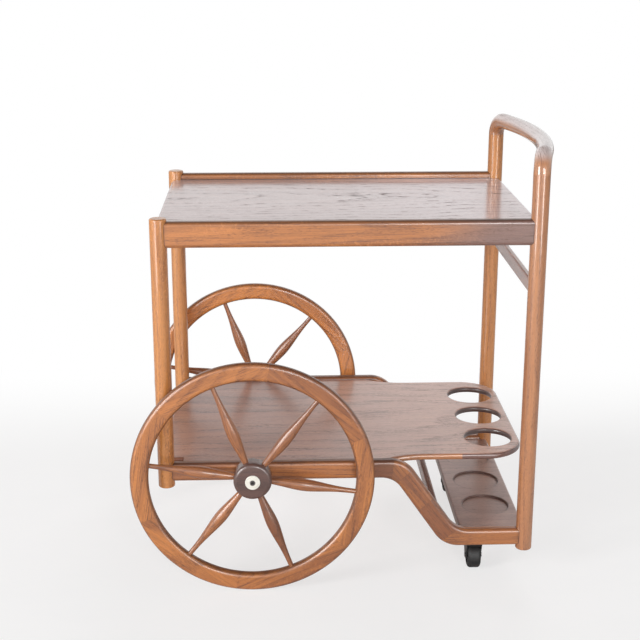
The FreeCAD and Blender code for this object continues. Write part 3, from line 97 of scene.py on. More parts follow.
class Value:
    """A number worked out by nodes, written with Python's own operators."""

    def __init__(self, net: "Network", socket: Socket) -> None:
        """Wrap one output socket of a network's node."""
        self.net = net
        self.socket = socket

    def __add__(self, other: Number) -> "Value":
        """Add a number."""
        return self.net.math("ADD", self, other)

    __radd__ = __add__

    def __sub__(self, other: Number) -> "Value":
        """Take a number away."""
        return self.net.math("SUBTRACT", self, other)

    def __rsub__(self, other: Number) -> "Value":
        """Take this away from a number."""
        return self.net.math("SUBTRACT", other, self)

    def __mul__(self, other: Number) -> "Value":
        """Multiply by a number."""
        return self.net.math("MULTIPLY", self, other)

    __rmul__ = __mul__

    def __truediv__(self, other: Number) -> "Value":
        """Divide by a number."""
        return self.net.math("DIVIDE", self, other)

    def __abs__(self) -> "Value":
        """Drop the sign."""
        return self.net.math("ABSOLUTE", self)

    def fraction(self) -> "Value":
        """Keep only what follows the point."""
        return self.net.math("FRACT", self)

    def at_least(self, other: Number) -> "Value":
        """Return the larger of the two numbers."""
        return self.net.math("MAXIMUM", self, other)

    def at_most(self, other: Number) -> "Value":
        """Return the smaller of the two numbers."""
        return self.net.math("MINIMUM", self, other)

    def ramp(self, start: float, end: float) -> "Value":
        """Rise smoothly from 0 at start to 1 at end.

        Args:
            start: value at which the result is 0.
            end: value at which the result is 1; it may be below start.
        """
        node = self.net.node("ShaderNodeMapRange", {"interpolation_type": "SMOOTHSTEP"}, {
            "Value": self, "From Min": start, "From Max": end, "To Min": 0.0, "To Max": 1.0})
        return Value(self.net, node.outputs["Result"])


def hypotenuse(first: Value, second: Value) -> Value:
    """Return the length of the slope over two legs."""
    return first.net.math("SQRT", first * first + second * second)


class Network:
    """Node tree of a material or of the surroundings while it is being built."""

    def __init__(self, owner: Material | bpy.types.World) -> None:
        """Empty the owner's node tree.

        Args:
            owner: material or world that the nodes belong to.
        """
        owner.use_nodes = True
        self.tree = owner.node_tree
        self.tree.nodes.clear()

    def node(self, kind: str, settings: Mapping[str, Any] | None = None,
             sockets: Mapping[str | int, Any] | None = None) -> bpy.types.ShaderNode:
        """Add one node.

        Args:
            kind: Blender's type of the node.
            settings: properties that are set first, such as an operation.
            sockets: value or link of each input, by its name or number.
        """
        node = self.tree.nodes.new(kind)
        for key, setting in (settings or {}).items():
            setattr(node, key, setting)
        for key, content in (sockets or {}).items():
            self.feed(node.inputs[key], content)
        return node

    def feed(self, socket: Socket, content: Any) -> None:
        """Link a socket, or set its value where the content is plain.

        Args:
            socket: input that is fed.
            content: a Value, another node's output, or a plain value.
        """
        if isinstance(content, Value):
            content = content.socket
        if isinstance(content, Socket):
            self.tree.links.new(content, socket)
        elif socket.type == "RGBA" and len(content) == 3:
            socket.default_value = (*content, 1.0)
        else:
            socket.default_value = content

    def math(self, operation: str, *operands: Number) -> Value:
        """Work out one Math operation."""
        node = self.node("ShaderNodeMath", {"operation": operation}, dict(enumerate(operands)))
        return Value(self, node.outputs[0])

    def vectors(self, operation: str, *operands: Any) -> bpy.types.ShaderNode:
        """Work out one Vector Math operation."""
        settings = {"operation": operation}
        return self.node("ShaderNodeVectorMath", settings, dict(enumerate(operands)))

    def split(self, vector: Socket) -> tuple[Value, ...]:
        """Take a vector apart into its three numbers."""
        node = self.node("ShaderNodeSeparateXYZ", {}, {0: vector})
        return tuple(Value(self, output) for output in node.outputs)

    def join(self, x: Number, y: Number, z: Number) -> Socket:
        """Put three numbers together as a vector."""
        return self.node("ShaderNodeCombineXYZ", {}, {0: x, 1: y, 2: z}).outputs[0]

    def blend(self, share: Number, first: Any, second: Any) -> Socket:
        """Mix two colours.

        Args:
            share: 0 for the first colour, 1 for the second.
            first: colour or link.
            second: colour or link.
        """
        node = self.node("ShaderNodeMix", {"data_type": "RGBA"}, {0: share, 6: first, 7: second})
        return node.outputs[2]

    def choose(self, share: Number, first: Any, second: Any) -> Socket:
        """Go from the first vector, at a share of 0, to the second, at 1."""
        node = self.node("ShaderNodeMix", {"data_type": "VECTOR"}, {0: share, 4: first, 5: second})
        return node.outputs[1]

    def bump(self, height: Value, depth: float) -> Socket:
        """Turn a height from 0 to 1 into a normal.

        Args:
            height: relief, 1 at its highest.
            depth: real height of the relief in metres.
        """
        node = self.node("ShaderNodeBump", {}, {
            "Strength": 1.0, "Distance": depth, "Height": height})
        return node.outputs[0]


class Shader(Network):
    """Node tree of one material."""

    def __init__(self, name: str) -> None:
        """Start an empty material of that name."""
        self.material = bpy.data.materials.new(name)
        super().__init__(self.material)

    def place(self) -> Socket:
        """Return the place on the piece, in metres in the cart's own frame."""
        return self.node("ShaderNodeTexCoord").outputs["Object"]

    def from_axle(self, place: Socket, x: float, z: float) -> Value:
        """Return the distance from an axle that lies across the cart, in metres."""
        across, _, up = self.split(place)
        return hypotenuse(across - x, up - z)

    def surface(self, sockets: Mapping[str, Any]) -> Material:
        """Finish the material with one Principled shader.

        Args:
            sockets: value or link of each of its inputs.
        """
        body = self.node("ShaderNodeBsdfPrincipled", {}, sockets)
        self.node("ShaderNodeOutputMaterial", {}, {"Surface": body.outputs[0]})
        return self.material


@dataclass(frozen=True)
class Layer:
    """Layer of soft noise: its cells to a metre, its detail, and where it rises from 0 to 1."""

    cells: Colour
    detail: float = 2.0
    roughness: float = 0.5
    start: float = 0.0
    end: float = 1.0

    def plain(self, net: Network, place: Socket) -> Value:
        """Return the noise itself, which lies about 0.5.

        Args:
            net: network that gets the nodes.
            place: place at which the noise is read.
        """
        scaled = net.vectors("MULTIPLY", place, self.cells).outputs[0]
        node = net.node("ShaderNodeTexNoise", {}, {
            "Vector": scaled, "Scale": 1.0, "Detail": self.detail, "Roughness": self.roughness})
        return Value(net, node.outputs[0])

    def read(self, net: Network, place: Socket) -> Value:
        """Return how far the noise has risen from its start to its end."""
        return self.plain(net, place).ramp(self.start, self.end)


@dataclass(frozen=True)
class RoundJoint:
    """Dark line round an upright axis: the glue line where a piece is coped round a post; round the
    tray's seats and the shelf's holes it is painted shade.
    """

    x: float
    y: float
    radius: float
    strength: float = 0.85
    width: float = 0.001

    def distance(self, shader: Shader, place: Socket) -> Value:
        """Return the distance from the circle, in metres."""
        x, y, _ = shader.split(place)
        return abs(hypotenuse(x - self.x, y - self.y) - self.radius)


@dataclass(frozen=True)
class SpokedJoints:
    """Glue lines across a rim, evenly turned about the axle."""

    x: float
    z: float
    first: float
    step: float
    strength: float = 0.1
    width: float = 0.001

    def distance(self, shader: Shader, place: Socket) -> Value:
        """Return the distance along the rim from the nearest glue line, in metres."""
        x, _, z = shader.split(place)
        across, up = x - self.x, z - self.z
        turn = (shader.math("ARCTAN2", up, across) - self.first) / self.step + SPOKES
        part = turn.fraction()
        return part.at_most(1 - part) * self.step * hypotenuse(across, up)


@dataclass(frozen=True)
class Cut:
    """Flat line at a point, its way ahead turned down by an angle: a glue line across a side rail,
    and painted shade on the tray's end.
    """

    x: float
    z: float
    fall: float = 0.0
    strength: float = 0.12
    width: float = 0.001
    saw: float = 0.00005

    def past(self, shader: Shader, place: Socket) -> Value:
        """Return how far a place lies past the cut, in metres."""
        x, _, z = shader.split(place)
        return (x - self.x) * math.cos(self.fall) - (z - self.z) * math.sin(self.fall)

    def side(self, shader: Shader, place: Socket) -> Value:
        """Return 0 before the cut and 1 past it."""
        return self.past(shader, place).ramp(-self.saw, self.saw)

    def distance(self, shader: Shader, place: Socket) -> Value:
        """Return the distance from the cut, in metres."""
        return abs(self.past(shader, place))


@dataclass(frozen=True)
class CreaseShade:
    """Painted shade: a dark line along the cart, in the corner between a board's face and the rails
    at its sides.
    """

    y: float
    z: float
    strength: float = 0.7
    width: float = 0.0022

    def distance(self, shader: Shader, place: Socket) -> Value:
        """Return the distance from the corner, in metres."""
        _, y, z = shader.split(place)
        return hypotenuse(abs(y) - self.y, z - self.z)


@dataclass(frozen=True)
class CrestShade:
    """Painted shade: a darker colour over the rounded top of a rail."""

    z: float
    strength: float = 0.5
    width: float = 0.004

    def distance(self, shader: Shader, place: Socket) -> Value:
        """Return the distance below the top, in metres."""
        _, _, z = shader.split(place)
        return abs(z - self.z)


@dataclass(frozen=True)
class RimEdgeShade:
    """Painted shade: a darker colour over the rounded inner and outer edges of a rim."""

    x: float
    z: float
    inner: float
    outer: float
    strength: float = 0.4
    width: float = 0.0045

    def distance(self, shader: Shader, place: Socket) -> Value:
        """Return the distance from the nearer edge, in metres."""
        radius = shader.from_axle(place, self.x, self.z)
        return abs(radius - self.outer).at_most(abs(radius - self.inner))


Line = Union[RoundJoint, SpokedJoints, Cut, CreaseShade, CrestShade, RimEdgeShade]


@dataclass(frozen=True)
class EdgeStrip:
    """Band round a board's free edge below its top face, coloured pale up to a point along the cart
    and dark past it.
    """

    top: float
    change: float
    pale: Colour
    dark: Colour
    start: float = 0.08
    lip: float = 0.0005
    border: float = 0.0007
    blur: float = 0.0005
    streaks: float = 0.4
    pores: float = 0.3

    def share(self, shader: Shader, place: Socket) -> Value:
        """Return 1 on the strip and 0 on the board's face."""
        x, _, z = shader.split(place)
        return (z.ramp(self.top - self.lip, self.top - self.lip - self.border)
                * x.ramp(self.start, self.start + 2 * self.blur))

    def colour(self, shader: Shader, place: Socket) -> Socket:
        """Return the strip's own colour."""
        x, _, _ = shader.split(place)
        return shader.blend(x.ramp(self.change - self.blur, self.change + self.blur),
                            self.pale, self.dark)


@dataclass(frozen=True)
class Grain:
    """How the timber of a piece lies: its start, the way it grew, its heart and how dark it is."""

    origin: Vector
    along: Vector
    face: Vector
    heart: Span = (0.02, -0.05)
    lean: float = 0.03
    tone: float = 0.0

    def turned(self, shader: Shader, place: Socket, along: Vector) -> Socket:
        """Return the place in axes whose X runs along the given way.

        Args:
            shader: shader of the finish.
            place: place on the piece.
            along: way that the timber grew.
        """
        way = along.normalized()
        across = self.face.cross(way).normalized()
        axes = Matrix((way, across, way.cross(across))).transposed()
        node = shader.node("ShaderNodeMapping", {"vector_type": "TEXTURE"}, {
            "Vector": place, "Location": self.origin, "Rotation": axes.to_euler()})
        return node.outputs[0]

    def read(self, shader: Shader, place: Socket) -> Socket:
        """Turn a place on the cart into a place in the timber, whose X runs along the grain."""
        return self.turned(shader, place, self.along)

    def tone_at(self, shader: Shader, place: Socket) -> Number:
        """Return how much darker than its fellows the timber is."""
        return self.tone


@dataclass(frozen=True)
class BentGrain(Grain):
    """Timber of the push bar, whose grain follows the bar round its two bends."""

    bend_y: float = 0.2
    bend_z: float = 0.77
    radius: float = 0.04

    def read(self, shader: Shader, place: Socket) -> Socket:
        """Unroll the bar: X is the way along it, Y the depth and Z the height in its section."""
        x, y, z = shader.split(place)
        side = shader.math("SIGN", y)
        reach = abs(y)
        past = (reach - self.bend_y).at_least(0.0)
        height = z - self.bend_z
        swept = shader.math("ARCTAN2", past, height.at_least(0.0001)) * self.radius
        along = (reach.at_most(self.bend_y) + swept) * side
        return shader.join(along, x - self.origin.x, hypotenuse(past, height) - self.radius)


@dataclass(frozen=True)
class PiecedGrain(Grain):
    """Timber of a side rail that is glued up from six lengths; those past the second cut slope."""

    cuts: tuple[Cut, ...] = ()
    slope: float = 0.0
    tones: tuple[float, ...] = ()
    shift: Colour = (0.43, 0.017, 0.009)

    def read(self, shader: Shader, place: Socket) -> Socket:
        """Turn a place on the cart into a place in the length of timber that it is in."""
        passed = [cut.side(shader, place) for cut in self.cuts]
        sloping = passed[1] * (1 - passed[-1])
        downhill = Vector((math.cos(self.slope), 0.0, -math.sin(self.slope)))
        timber = shader.choose(sloping, self.turned(shader, place, self.along),
                               self.turned(shader, place, downhill))
        moved = shader.node("ShaderNodeVectorMath", {"operation": "SCALE"}, {
            0: self.shift, "Scale": sum(passed[1:], passed[0])})
        return shader.vectors("ADD", timber, moved.outputs[0]).outputs[0]

    def tone_at(self, shader: Shader, place: Socket) -> Number:
        """Return how dark the length of timber is that a place is in."""
        tone = self.tones[0]
        for cut, before, after in zip(self.cuts, self.tones, self.tones[1:]):
            tone = cut.side(shader, place) * (after - before) + tone
        return tone


@dataclass(frozen=True)
class PaintedReflection:
    """Painted reflection: the piece's colour blends along the cart towards a paler or duller
    colour, as its lacquer would reflect the surroundings.
    """

    start: float
    end: float
    colour: Colour
    strength: float = 0.8
    blotch: float = 0.12

    def share(self, shader: Shader, place: Socket, drift: Value) -> Value:
        """Return how much of the painted reflection lies on a place."""
        x, _, _ = shader.split(place)
        return (x + drift * self.blotch).ramp(self.start, self.end) * self.strength


@dataclass(frozen=True)
class PaintedTopReflection:
    """Painted reflection on the upper side of a bar: its colour pales where its face looks up,
    above a height.
    """

    start: float
    end: float
    colour: Colour
    strength: float = 0.88
    blotch: float = 0.3
    level: float = -0.05
    upward: float = 0.55

    def share(self, shader: Shader, place: Socket, drift: Value) -> Value:
        """Return how pale a place is, from its height and from how far its face looks up.

        Args:
            shader: shader of the finish.
            place: place on the piece.
            drift: how far the rings drift there.
        """
        _, _, z = shader.split(place)
        _, _, up = shader.split(shader.node("ShaderNodeTexCoord").outputs["Normal"])
        facing = (up + drift * self.blotch).ramp(self.level, self.upward)
        return z.ramp(self.start, self.end) * facing * self.strength


@dataclass(frozen=True)
class Figure:
    """What the timber shows at a place: how far its rings drift, and the rest from 0 to 1."""

    drift: Value
    early: Value
    dash: Value
    tone: Value
    streak: Value
    pores: Value
    rays: Value


@dataclass(frozen=True)
class Oak:
    """Stained oak under clear lacquer: rings, pores, rays, streaks, glue lines and handling, with
    painted shade and painted reflection where a piece has them.
    """

    name: str
    light: Colour
    dark: Colour
    pore: Colour
    ring: float = 0.0065
    wander: float = 0.0035
    sway: float = 0.0175
    sway_cells: Colour = (2.2, 12.0, 12.0)
    dash_cells: Colour = (17.0, 85.0, 85.0)
    rings: float = 0.5
    streaks: float = 0.45
    dashes: float = 0.35
    rays: float = 0.35
    specular: float = 0.5
    haze: float = 0.0
    lacquer: float = 1.0
    lacquer_roughness: float = 0.12
    lacquer_ior: float = 1.5
    roughness: float = 0.42

    # Layers of noise that every oak shares.
    ripple: ClassVar[Layer] = Layer((9.0, 75.0, 75.0))
    patches: ClassVar[Layer] = Layer((2.6, 34.0, 34.0), 3.0, 0.6, 0.28, 0.72)
    fibres: ClassVar[Layer] = Layer((13.0, 520.0, 520.0), 3.0, 0.65, 0.46, 0.72)
    pits: ClassVar[Layer] = Layer((120.0, 900.0, 900.0), 1.0, 0.5, 0.54, 0.66)
    ray_sway: ClassVar[Layer] = Layer((14.0, 40.0, 40.0))
    ray_flecks: ClassVar[Layer] = Layer((240.0, 150.0, 150.0), 2.0, 0.55, 0.5, 0.66)
    ray_patches: ClassVar[Layer] = Layer((5.0, 14.0, 14.0), 1.0, 0.5, 0.42, 0.62)
    handling: ClassVar[Layer] = Layer((23.0, 23.0, 23.0), 3.0, 0.6)

    # Where in a year, from 0 to 1, the early wood and its dashes rise and fall.
    early_rise: ClassVar[Span] = (0.0, 0.14)
    early_fall: ClassVar[Span] = (0.7, 0.18)
    dash_rise: ClassVar[Span] = (0.0, 0.06)
    dash_fall: ClassVar[Span] = (0.34, 0.08)
    dash_breaks: ClassVar[Span] = (0.47, 0.66)

    # Shares by which each mark darkens the stain, dulls the lacquer, roughens or sinks the face.
    patch_tone: ClassVar[float] = 0.75
    ring_tone: ClassVar[float] = 0.5
    late_marks: ClassVar[float] = 0.4
    pore_tone: ClassVar[float] = 0.55
    dash_dulling: ClassVar[float] = 0.95
    rub_dulling: ClassVar[float] = 0.12
    line_dulling: ClassVar[float] = 0.6
    pore_roughening: ClassVar[float] = 0.15
    dash_roughening: ClassVar[float] = 0.3
    rub_roughening: ClassVar[float] = 0.12
    ray_smoothing: ClassVar[float] = 0.08
    pore_depth: ClassVar[float] = 0.5
    streak_depth: ClassVar[float] = 0.2
    early_depth: ClassVar[float] = 0.12
    relief: ClassVar[float] = 0.00006

    # The rays' slant, bend and silver, and how the dark lines are tinted, edged and darkened round
    # about: glue lines with soil, lines of painted shade with more painted shade.
    ray_slant: ClassVar[float] = 0.35
    ray_bend: ClassVar[float] = 0.03
    silvering: ClassVar[Span] = (1.2, 0.02)
    glue_and_shade_tint: ClassVar[float] = 0.5
    line_core: ClassVar[float] = 0.2
    soil_reach: ClassVar[float] = 0.006
    soil_and_shade_share: ClassVar[float] = 0.5
    sheen_roughness: ClassVar[float] = 0.35

    def rays_of(self, shader: Shader, timber: Socket) -> Value:
        """Return the silvery rays that cross the grain in wavy flecks, in patches.

        Args:
            shader: shader of the finish.
            timber: place in the timber.
        """
        x, y, z = shader.split(timber)
        slant = (y + z) * self.ray_slant + self.ray_sway.plain(shader, timber) * self.ray_bend
        bent = shader.join(x + slant, y, z)
        return self.ray_flecks.read(shader, bent) * self.ray_patches.read(shader, timber)

    def figure(self, shader: Shader, timber: Socket, grain: Grain) -> Figure:
        """Work out what the timber shows.

        Args:
            shader: shader of the finish.
            timber: place in the timber.
            grain: how the timber lies.
        """
        x, y, z = shader.split(timber)
        drift = Layer(self.sway_cells).plain(shader, timber) - NOISE_MIDDLE
        ripple = self.ripple.plain(shader, timber) - NOISE_MIDDLE
        radius = hypotenuse(y - grain.heart[0], z - grain.heart[1] + x * grain.lean)
        radius = radius + drift * self.sway + ripple * self.wander
        year = (radius / self.ring).fraction()
        early = year.ramp(*self.early_rise) * year.ramp(*self.early_fall)
        breaks = Layer(self.dash_cells, 3.0, 0.65, *self.dash_breaks).read(shader, timber)
        marks = early * (1 - self.late_marks) + self.late_marks
        return Figure(
            drift=drift,
            early=early,
            dash=year.ramp(*self.dash_rise) * year.ramp(*self.dash_fall) * breaks * self.dashes,
            tone=self.patches.read(shader, timber),
            streak=self.fibres.read(shader, timber),
            pores=self.pits.read(shader, timber) * marks,
            rays=self.rays_of(shader, timber),
        )

    def stain(self, shader: Shader, place: Socket, figure: Figure, tone: Number,
              painted_reflection: PaintedReflection | PaintedTopReflection | None) -> Socket:
        """Colour the timber.

        Args:
            shader: shader of the finish.
            place: place on the piece.
            figure: what the timber shows there.
            tone: how much darker the timber is than its fellows.
            painted_reflection: painted reflection on it, if it has one.
        """
        share = figure.tone * self.patch_tone + figure.early * (self.ring_tone * self.rings) + tone
        colour = shader.blend(share.at_least(0.0).at_most(1.0), self.light, self.dark)
        gain, lift = self.silvering
        silver = tuple(min(1.0, gain * part + lift) for part in self.light)
        colour = shader.blend(figure.rays * self.rays, colour, silver)
        # Painted reflection: the colour blends towards a paler or duller one along the cart, or on
        # the push bar's upper side.
        if painted_reflection:
            colour = shader.blend(painted_reflection.share(shader, place, figure.drift), colour, painted_reflection.colour)
        marks = figure.early * (1 - self.late_marks) + self.late_marks
        colour = shader.blend(figure.streak * marks * self.streaks, colour, self.pore)
        holes = (figure.pores * self.pore_tone + figure.dash).at_most(1.0)
        return shader.blend(holes, colour, self.pore)

    def material(self, piece: str, grain: Grain, joints: Sequence[Line] = (),
                 painted_reflection: PaintedReflection | PaintedTopReflection | None = None,
                 strip: EdgeStrip | None = None) -> Material:
        """Make the finish of one piece.

        Args:
            piece: name of the piece.
            grain: how its timber lies.
            joints: glue lines on it, and lines of painted shade in its corners and over its rounded
                edges.
            painted_reflection: painted reflection along the cart or on its upper side, if it has
                one.
            strip: band along its edge below the top face, if it has one.
        """
        shader = Shader(f"{self.name}_{piece}")
        place = shader.place()
        figure = self.figure(shader, grain.read(shader, place), grain)
        colour = self.stain(shader, place, figure, grain.tone_at(shader, place), painted_reflection)
        if strip:
            marks = figure.streak * strip.streaks + figure.pores * strip.pores
            edge = shader.blend(marks, strip.colour(shader, place), self.pore)
            colour = shader.blend(strip.share(shader, place), colour, edge)
        rub = self.handling.plain(shader, place)
        dull = figure.dash * self.dash_dulling + rub * self.rub_dulling
        glue_and_shade = tuple(self.glue_and_shade_tint * part for part in self.pore)
        for joint in joints:
            gap = joint.distance(shader, place)
            line = gap.ramp(joint.width, self.line_core * joint.width) * joint.strength
            # Darkening round each line: soil round the glue lines, painted shade round the lines of
            # painted shade.
            soil = gap.ramp(self.soil_reach, 0.0) * rub * (self.soil_and_shade_share * joint.strength)
            colour = shader.blend((line + soil).at_most(1.0), colour, glue_and_shade)
            dull = dull + line * self.line_dulling
        rough = (figure.pores * self.pore_roughening + figure.dash * self.dash_roughening
                 + rub * self.rub_roughening - figure.rays * self.ray_smoothing)
        height = (1 - figure.pores * self.pore_depth - figure.streak * self.streak_depth
                  - figure.early * self.early_depth)
        return shader.surface({
            "Base Color": colour,
            "Roughness": rough + self.roughness,
            "Coat Weight": (self.lacquer - dull).at_least(0.0),
            "Coat Roughness": self.lacquer_roughness,
            "Coat IOR": self.lacquer_ior,
            "Specular IOR Level": self.specular,
            "Sheen Weight": self.haze,
            "Sheen Roughness": self.sheen_roughness,
            "Normal": shader.bump(height, self.relief),
        })


@dataclass(frozen=True)
class Moulded:
    """Moulded or enamelled surface with a faint grain and scuffs where it is handled."""

    name: str
    colour: Colour
    scuffed: Colour
    roughness: float = 0.45
    grain: float = 900.0
    relief: float = 0.00004
    lacquer: float = 0.0
    wear_tint: float = 0.6
    wear_roughness: float = 0.15
    grain_roughness: float = 0.05
    scuffs: ClassVar[Layer] = Layer((60.0, 60.0, 60.0), 4.0, 0.65, 0.55, 0.8)

    def material(self) -> Material:
        """Make the finish."""
        shader = Shader(self.name)
        place = shader.place()
        pebble = Layer((self.grain,) * 3).plain(shader, place)
        wear = self.scuffs.read(shader, place)
        return shader.surface({
            "Base Color": shader.blend(wear * self.wear_tint, self.colour, self.scuffed),
            "Roughness": (wear * self.wear_roughness + pebble * self.grain_roughness
                          + self.roughness),
            "Coat Weight": self.lacquer,
            "Normal": shader.bump(pebble, self.relief),
        })


@dataclass(frozen=True)
class SocketCap:
    """Ivory head of an axle bolt, with a bare steel socket in its middle."""

    name: str
    axle: Vector
    socket_radius: float = 0.0051
    border: float = 0.0001
    soil_reach: float = 0.0016
    ivory: Colour = (0.84, 0.82, 0.74)
    yellowed: Colour = (0.70, 0.65, 0.53)
    steel: Colour = (0.16, 0.15, 0.145)
    roughness: float = 0.32
    relief: float = 0.00002
    lacquer: float = 0.6
    lacquer_roughness: float = 0.12
    age_tint: float = 0.5
    age_roughness: float = 0.15
    steel_roughness: float = 0.08
    spots: ClassVar[Layer] = Layer((160.0, 160.0, 160.0), 4.0, 0.6, 0.45, 0.8)
    turning: ClassVar[Layer] = Layer((4200.0, 1.0, 1.0))

    def material(self) -> Material:
        """Make the finish."""
        shader = Shader(self.name)
        place = shader.place()
        radius = shader.from_axle(place, self.axle.x, self.axle.z)
        socket = radius.ramp(self.socket_radius + self.border, self.socket_radius - self.border)
        age = self.spots.read(shader, place)
        soil = radius.ramp(self.socket_radius + self.soil_reach, self.socket_radius)
        yellow = ((age + soil) * self.age_tint).at_most(1.0)
        ivory = shader.blend(yellow, self.ivory, self.yellowed)
        turned = self.turning.plain(shader, shader.join(radius, 0.0, 0.0))
        return shader.surface({
            "Base Color": shader.blend(socket, ivory, self.steel),
            "Metallic": socket,
            "Roughness": (age * self.age_roughness + socket * self.steel_roughness
                          + self.roughness),
            "Coat Weight": (1 - socket) * self.lacquer,
            "Coat Roughness": self.lacquer_roughness,
            "Normal": shader.bump(turned, self.relief),
        })


@dataclass(frozen=True)
class TurnedMetal:
    """Plated steel with fine rings left by the lathe about one axis."""

    name: str
    colour: Colour
    axis: Vector
    centre: Vector
    roughness: float = 0.28
    relief: float = 0.00002
    dulled: float = 0.6
    dull_tint: float = 0.5
    dull_roughness: float = 0.2
    rings: ClassVar[Layer] = Layer((5200.0, 1.0, 1.0))
    tarnish: ClassVar[Layer] = Layer((90.0, 90.0, 90.0), 3.0, 0.5, 0.45, 0.75)

    def material(self) -> Material:
        """Make the finish."""
        shader = Shader(self.name)
        place = shader.place()
        away = shader.vectors("SUBTRACT", place, self.centre).outputs[0]
        flat = shader.vectors("CROSS_PRODUCT", away, self.axis).outputs[0]
        radius = Value(shader, shader.vectors("LENGTH", flat).outputs["Value"])
        rings = self.rings.plain(shader, shader.join(radius, 0.0, 0.0))
        dull = self.tarnish.read(shader, place)
        dulled = tuple(self.dulled * part for part in self.colour)
        return shader.surface({
            "Base Color": shader.blend(dull * self.dull_tint, self.colour, dulled),
            "Metallic": 1.0,
            "Roughness": dull * self.dull_roughness + self.roughness,
            "Normal": shader.bump(rings, self.relief),
        })


LEFT_POST_OAK = Oak("oak_left_post", (0.71, 0.285, 0.07), (0.46, 0.165, 0.036),
                    (0.18, 0.06, 0.022), dashes=0.2, lacquer_roughness=0.1)
RIGHT_POST_OAK = Oak("oak_right_post", (0.55, 0.222, 0.078), (0.34, 0.125, 0.044),
                     (0.15, 0.053, 0.026), dashes=0.15, rays=0.15, specular=0.6,
                     lacquer_roughness=0.1, lacquer_ior=1.7)
BACK_POST_OAK = Oak("oak_back_post", (0.73, 0.305, 0.088), (0.48, 0.185, 0.052),
                    (0.18, 0.06, 0.024), dashes=0.15, rays=0.15, lacquer_roughness=0.1)
RAIL_OAK = Oak("oak_rail", (0.58, 0.205, 0.045), (0.27, 0.088, 0.022), (0.10, 0.032, 0.014),
               rings=0.4, streaks=0.85, dashes=0.12, rays=0.45, lacquer_roughness=0.2)
SIDE_OAK = Oak("oak_side_rail", (0.55, 0.195, 0.046), (0.26, 0.085, 0.028), (0.09, 0.03, 0.017),
               rings=0.35, streaks=0.85, dashes=0.12, rays=0.1, lacquer_roughness=0.26)
PANEL_OAK = Oak("oak_panel", (0.42, 0.20, 0.175), (0.28, 0.128, 0.110), (0.085, 0.037, 0.035),
                ring=0.019, wander=0.007, sway=0.07, sway_cells=(3.3, 8.0, 9.0),
                dash_cells=(50.0, 120.0, 120.0), rings=0.3, streaks=0.5, dashes=1.0, rays=0.03,
                specular=0.8, haze=0.15, roughness=0.3, lacquer_roughness=0.16, lacquer_ior=2.55)
SHELF_OAK = Oak("oak_shelf", (0.37, 0.138, 0.068), (0.20, 0.070, 0.036), (0.055, 0.021, 0.016),
                ring=0.03, wander=0.009, sway=0.09, sway_cells=(2.6, 8.0, 9.0),
                dash_cells=(30.0, 150.0, 150.0), rings=0.15, streaks=0.9, dashes=0.3, rays=0.03,
                specular=0.6, haze=0.08, roughness=0.36, lacquer_roughness=0.24, lacquer_ior=1.62)
# The tray's stain is painted lighter than its wood: painted light that makes up for the shade under
# the shelf.
TRAY_OAK = Oak("oak_tray", (0.46, 0.265, 0.21), (0.31, 0.165, 0.13), (0.09, 0.043, 0.034),
               rings=0.3, streaks=0.4, dashes=0.15, rays=0.03, haze=0.1, lacquer_roughness=0.28)
CROSS_OAK = Oak("oak_cross_rail", (0.27, 0.135, 0.10), (0.17, 0.08, 0.06), (0.05, 0.023, 0.018),
                rings=0.3, streaks=0.4, dashes=0.15, rays=0.03, lacquer_roughness=0.2)
RIM_OAK = Oak("oak_rim", (0.62, 0.222, 0.05), (0.28, 0.088, 0.024), (0.09, 0.028, 0.013),
              ring=0.0085, rings=0.35, streaks=0.9, dashes=0.15, rays=0.2, lacquer_roughness=0.22)
SPOKE_OAK = Oak("oak_spoke", (0.48, 0.172, 0.05), (0.21, 0.067, 0.022), (0.09, 0.029, 0.015),
                ring=0.004, streaks=0.7, dashes=0.2, rays=0.1, lacquer_roughness=0.2)
HUB_OAK = Oak("oak_hub", (0.115, 0.050, 0.037), (0.072, 0.030, 0.022), (0.03, 0.013, 0.01),
              rings=0.4, rays=0.05, streaks=0.35, dashes=0.2, lacquer_roughness=0.22,
              lacquer_ior=1.55)
BEECH = Oak("beech_dowel", (0.72, 0.52, 0.33), (0.60, 0.40, 0.24), (0.42, 0.27, 0.15),
            lacquer=0.0, roughness=0.6)
NYLON = Moulded("nylon_bush", (0.80, 0.78, 0.72), (0.66, 0.62, 0.55), roughness=0.5)
BLACK_WHEEL = Moulded("black_caster", (0.008, 0.0079, 0.0083), (0.03, 0.029, 0.028),
                      roughness=0.55, grain=1400.0)
ENAMEL = Moulded("black_enamel", (0.015, 0.0145, 0.0155), (0.07, 0.066, 0.062),
                 roughness=0.4, lacquer=0.2)


def paint(node: str, material: Material) -> None:
    """Give a node of the frame its finish.

    Args:
        node: name of the node.
        material: its finish.
    """
    piece = frame["nodes"][node]
    if not piece.material_slots:
        piece.data.materials.append(material)
    for slot in piece.material_slots:
        slot.material = material
    LOG.info("finished %s in %s", node, material.name)


def new_object(name: str, data: bpy.types.ID) -> bpy.types.Object:
    """Make an object of some data and put it in the scene.

    Args:
        name: name of the object.
        data: its mesh, lamp or camera.
    """
    made = bpy.data.objects.new(name, data)
    bpy.context.scene.collection.objects.link(made)
    return made


def centre_of(node: str) -> Vector:
    """Return the middle of a node's box."""
    low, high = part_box(node)
    return (Vector(low) + Vector(high)) / 2


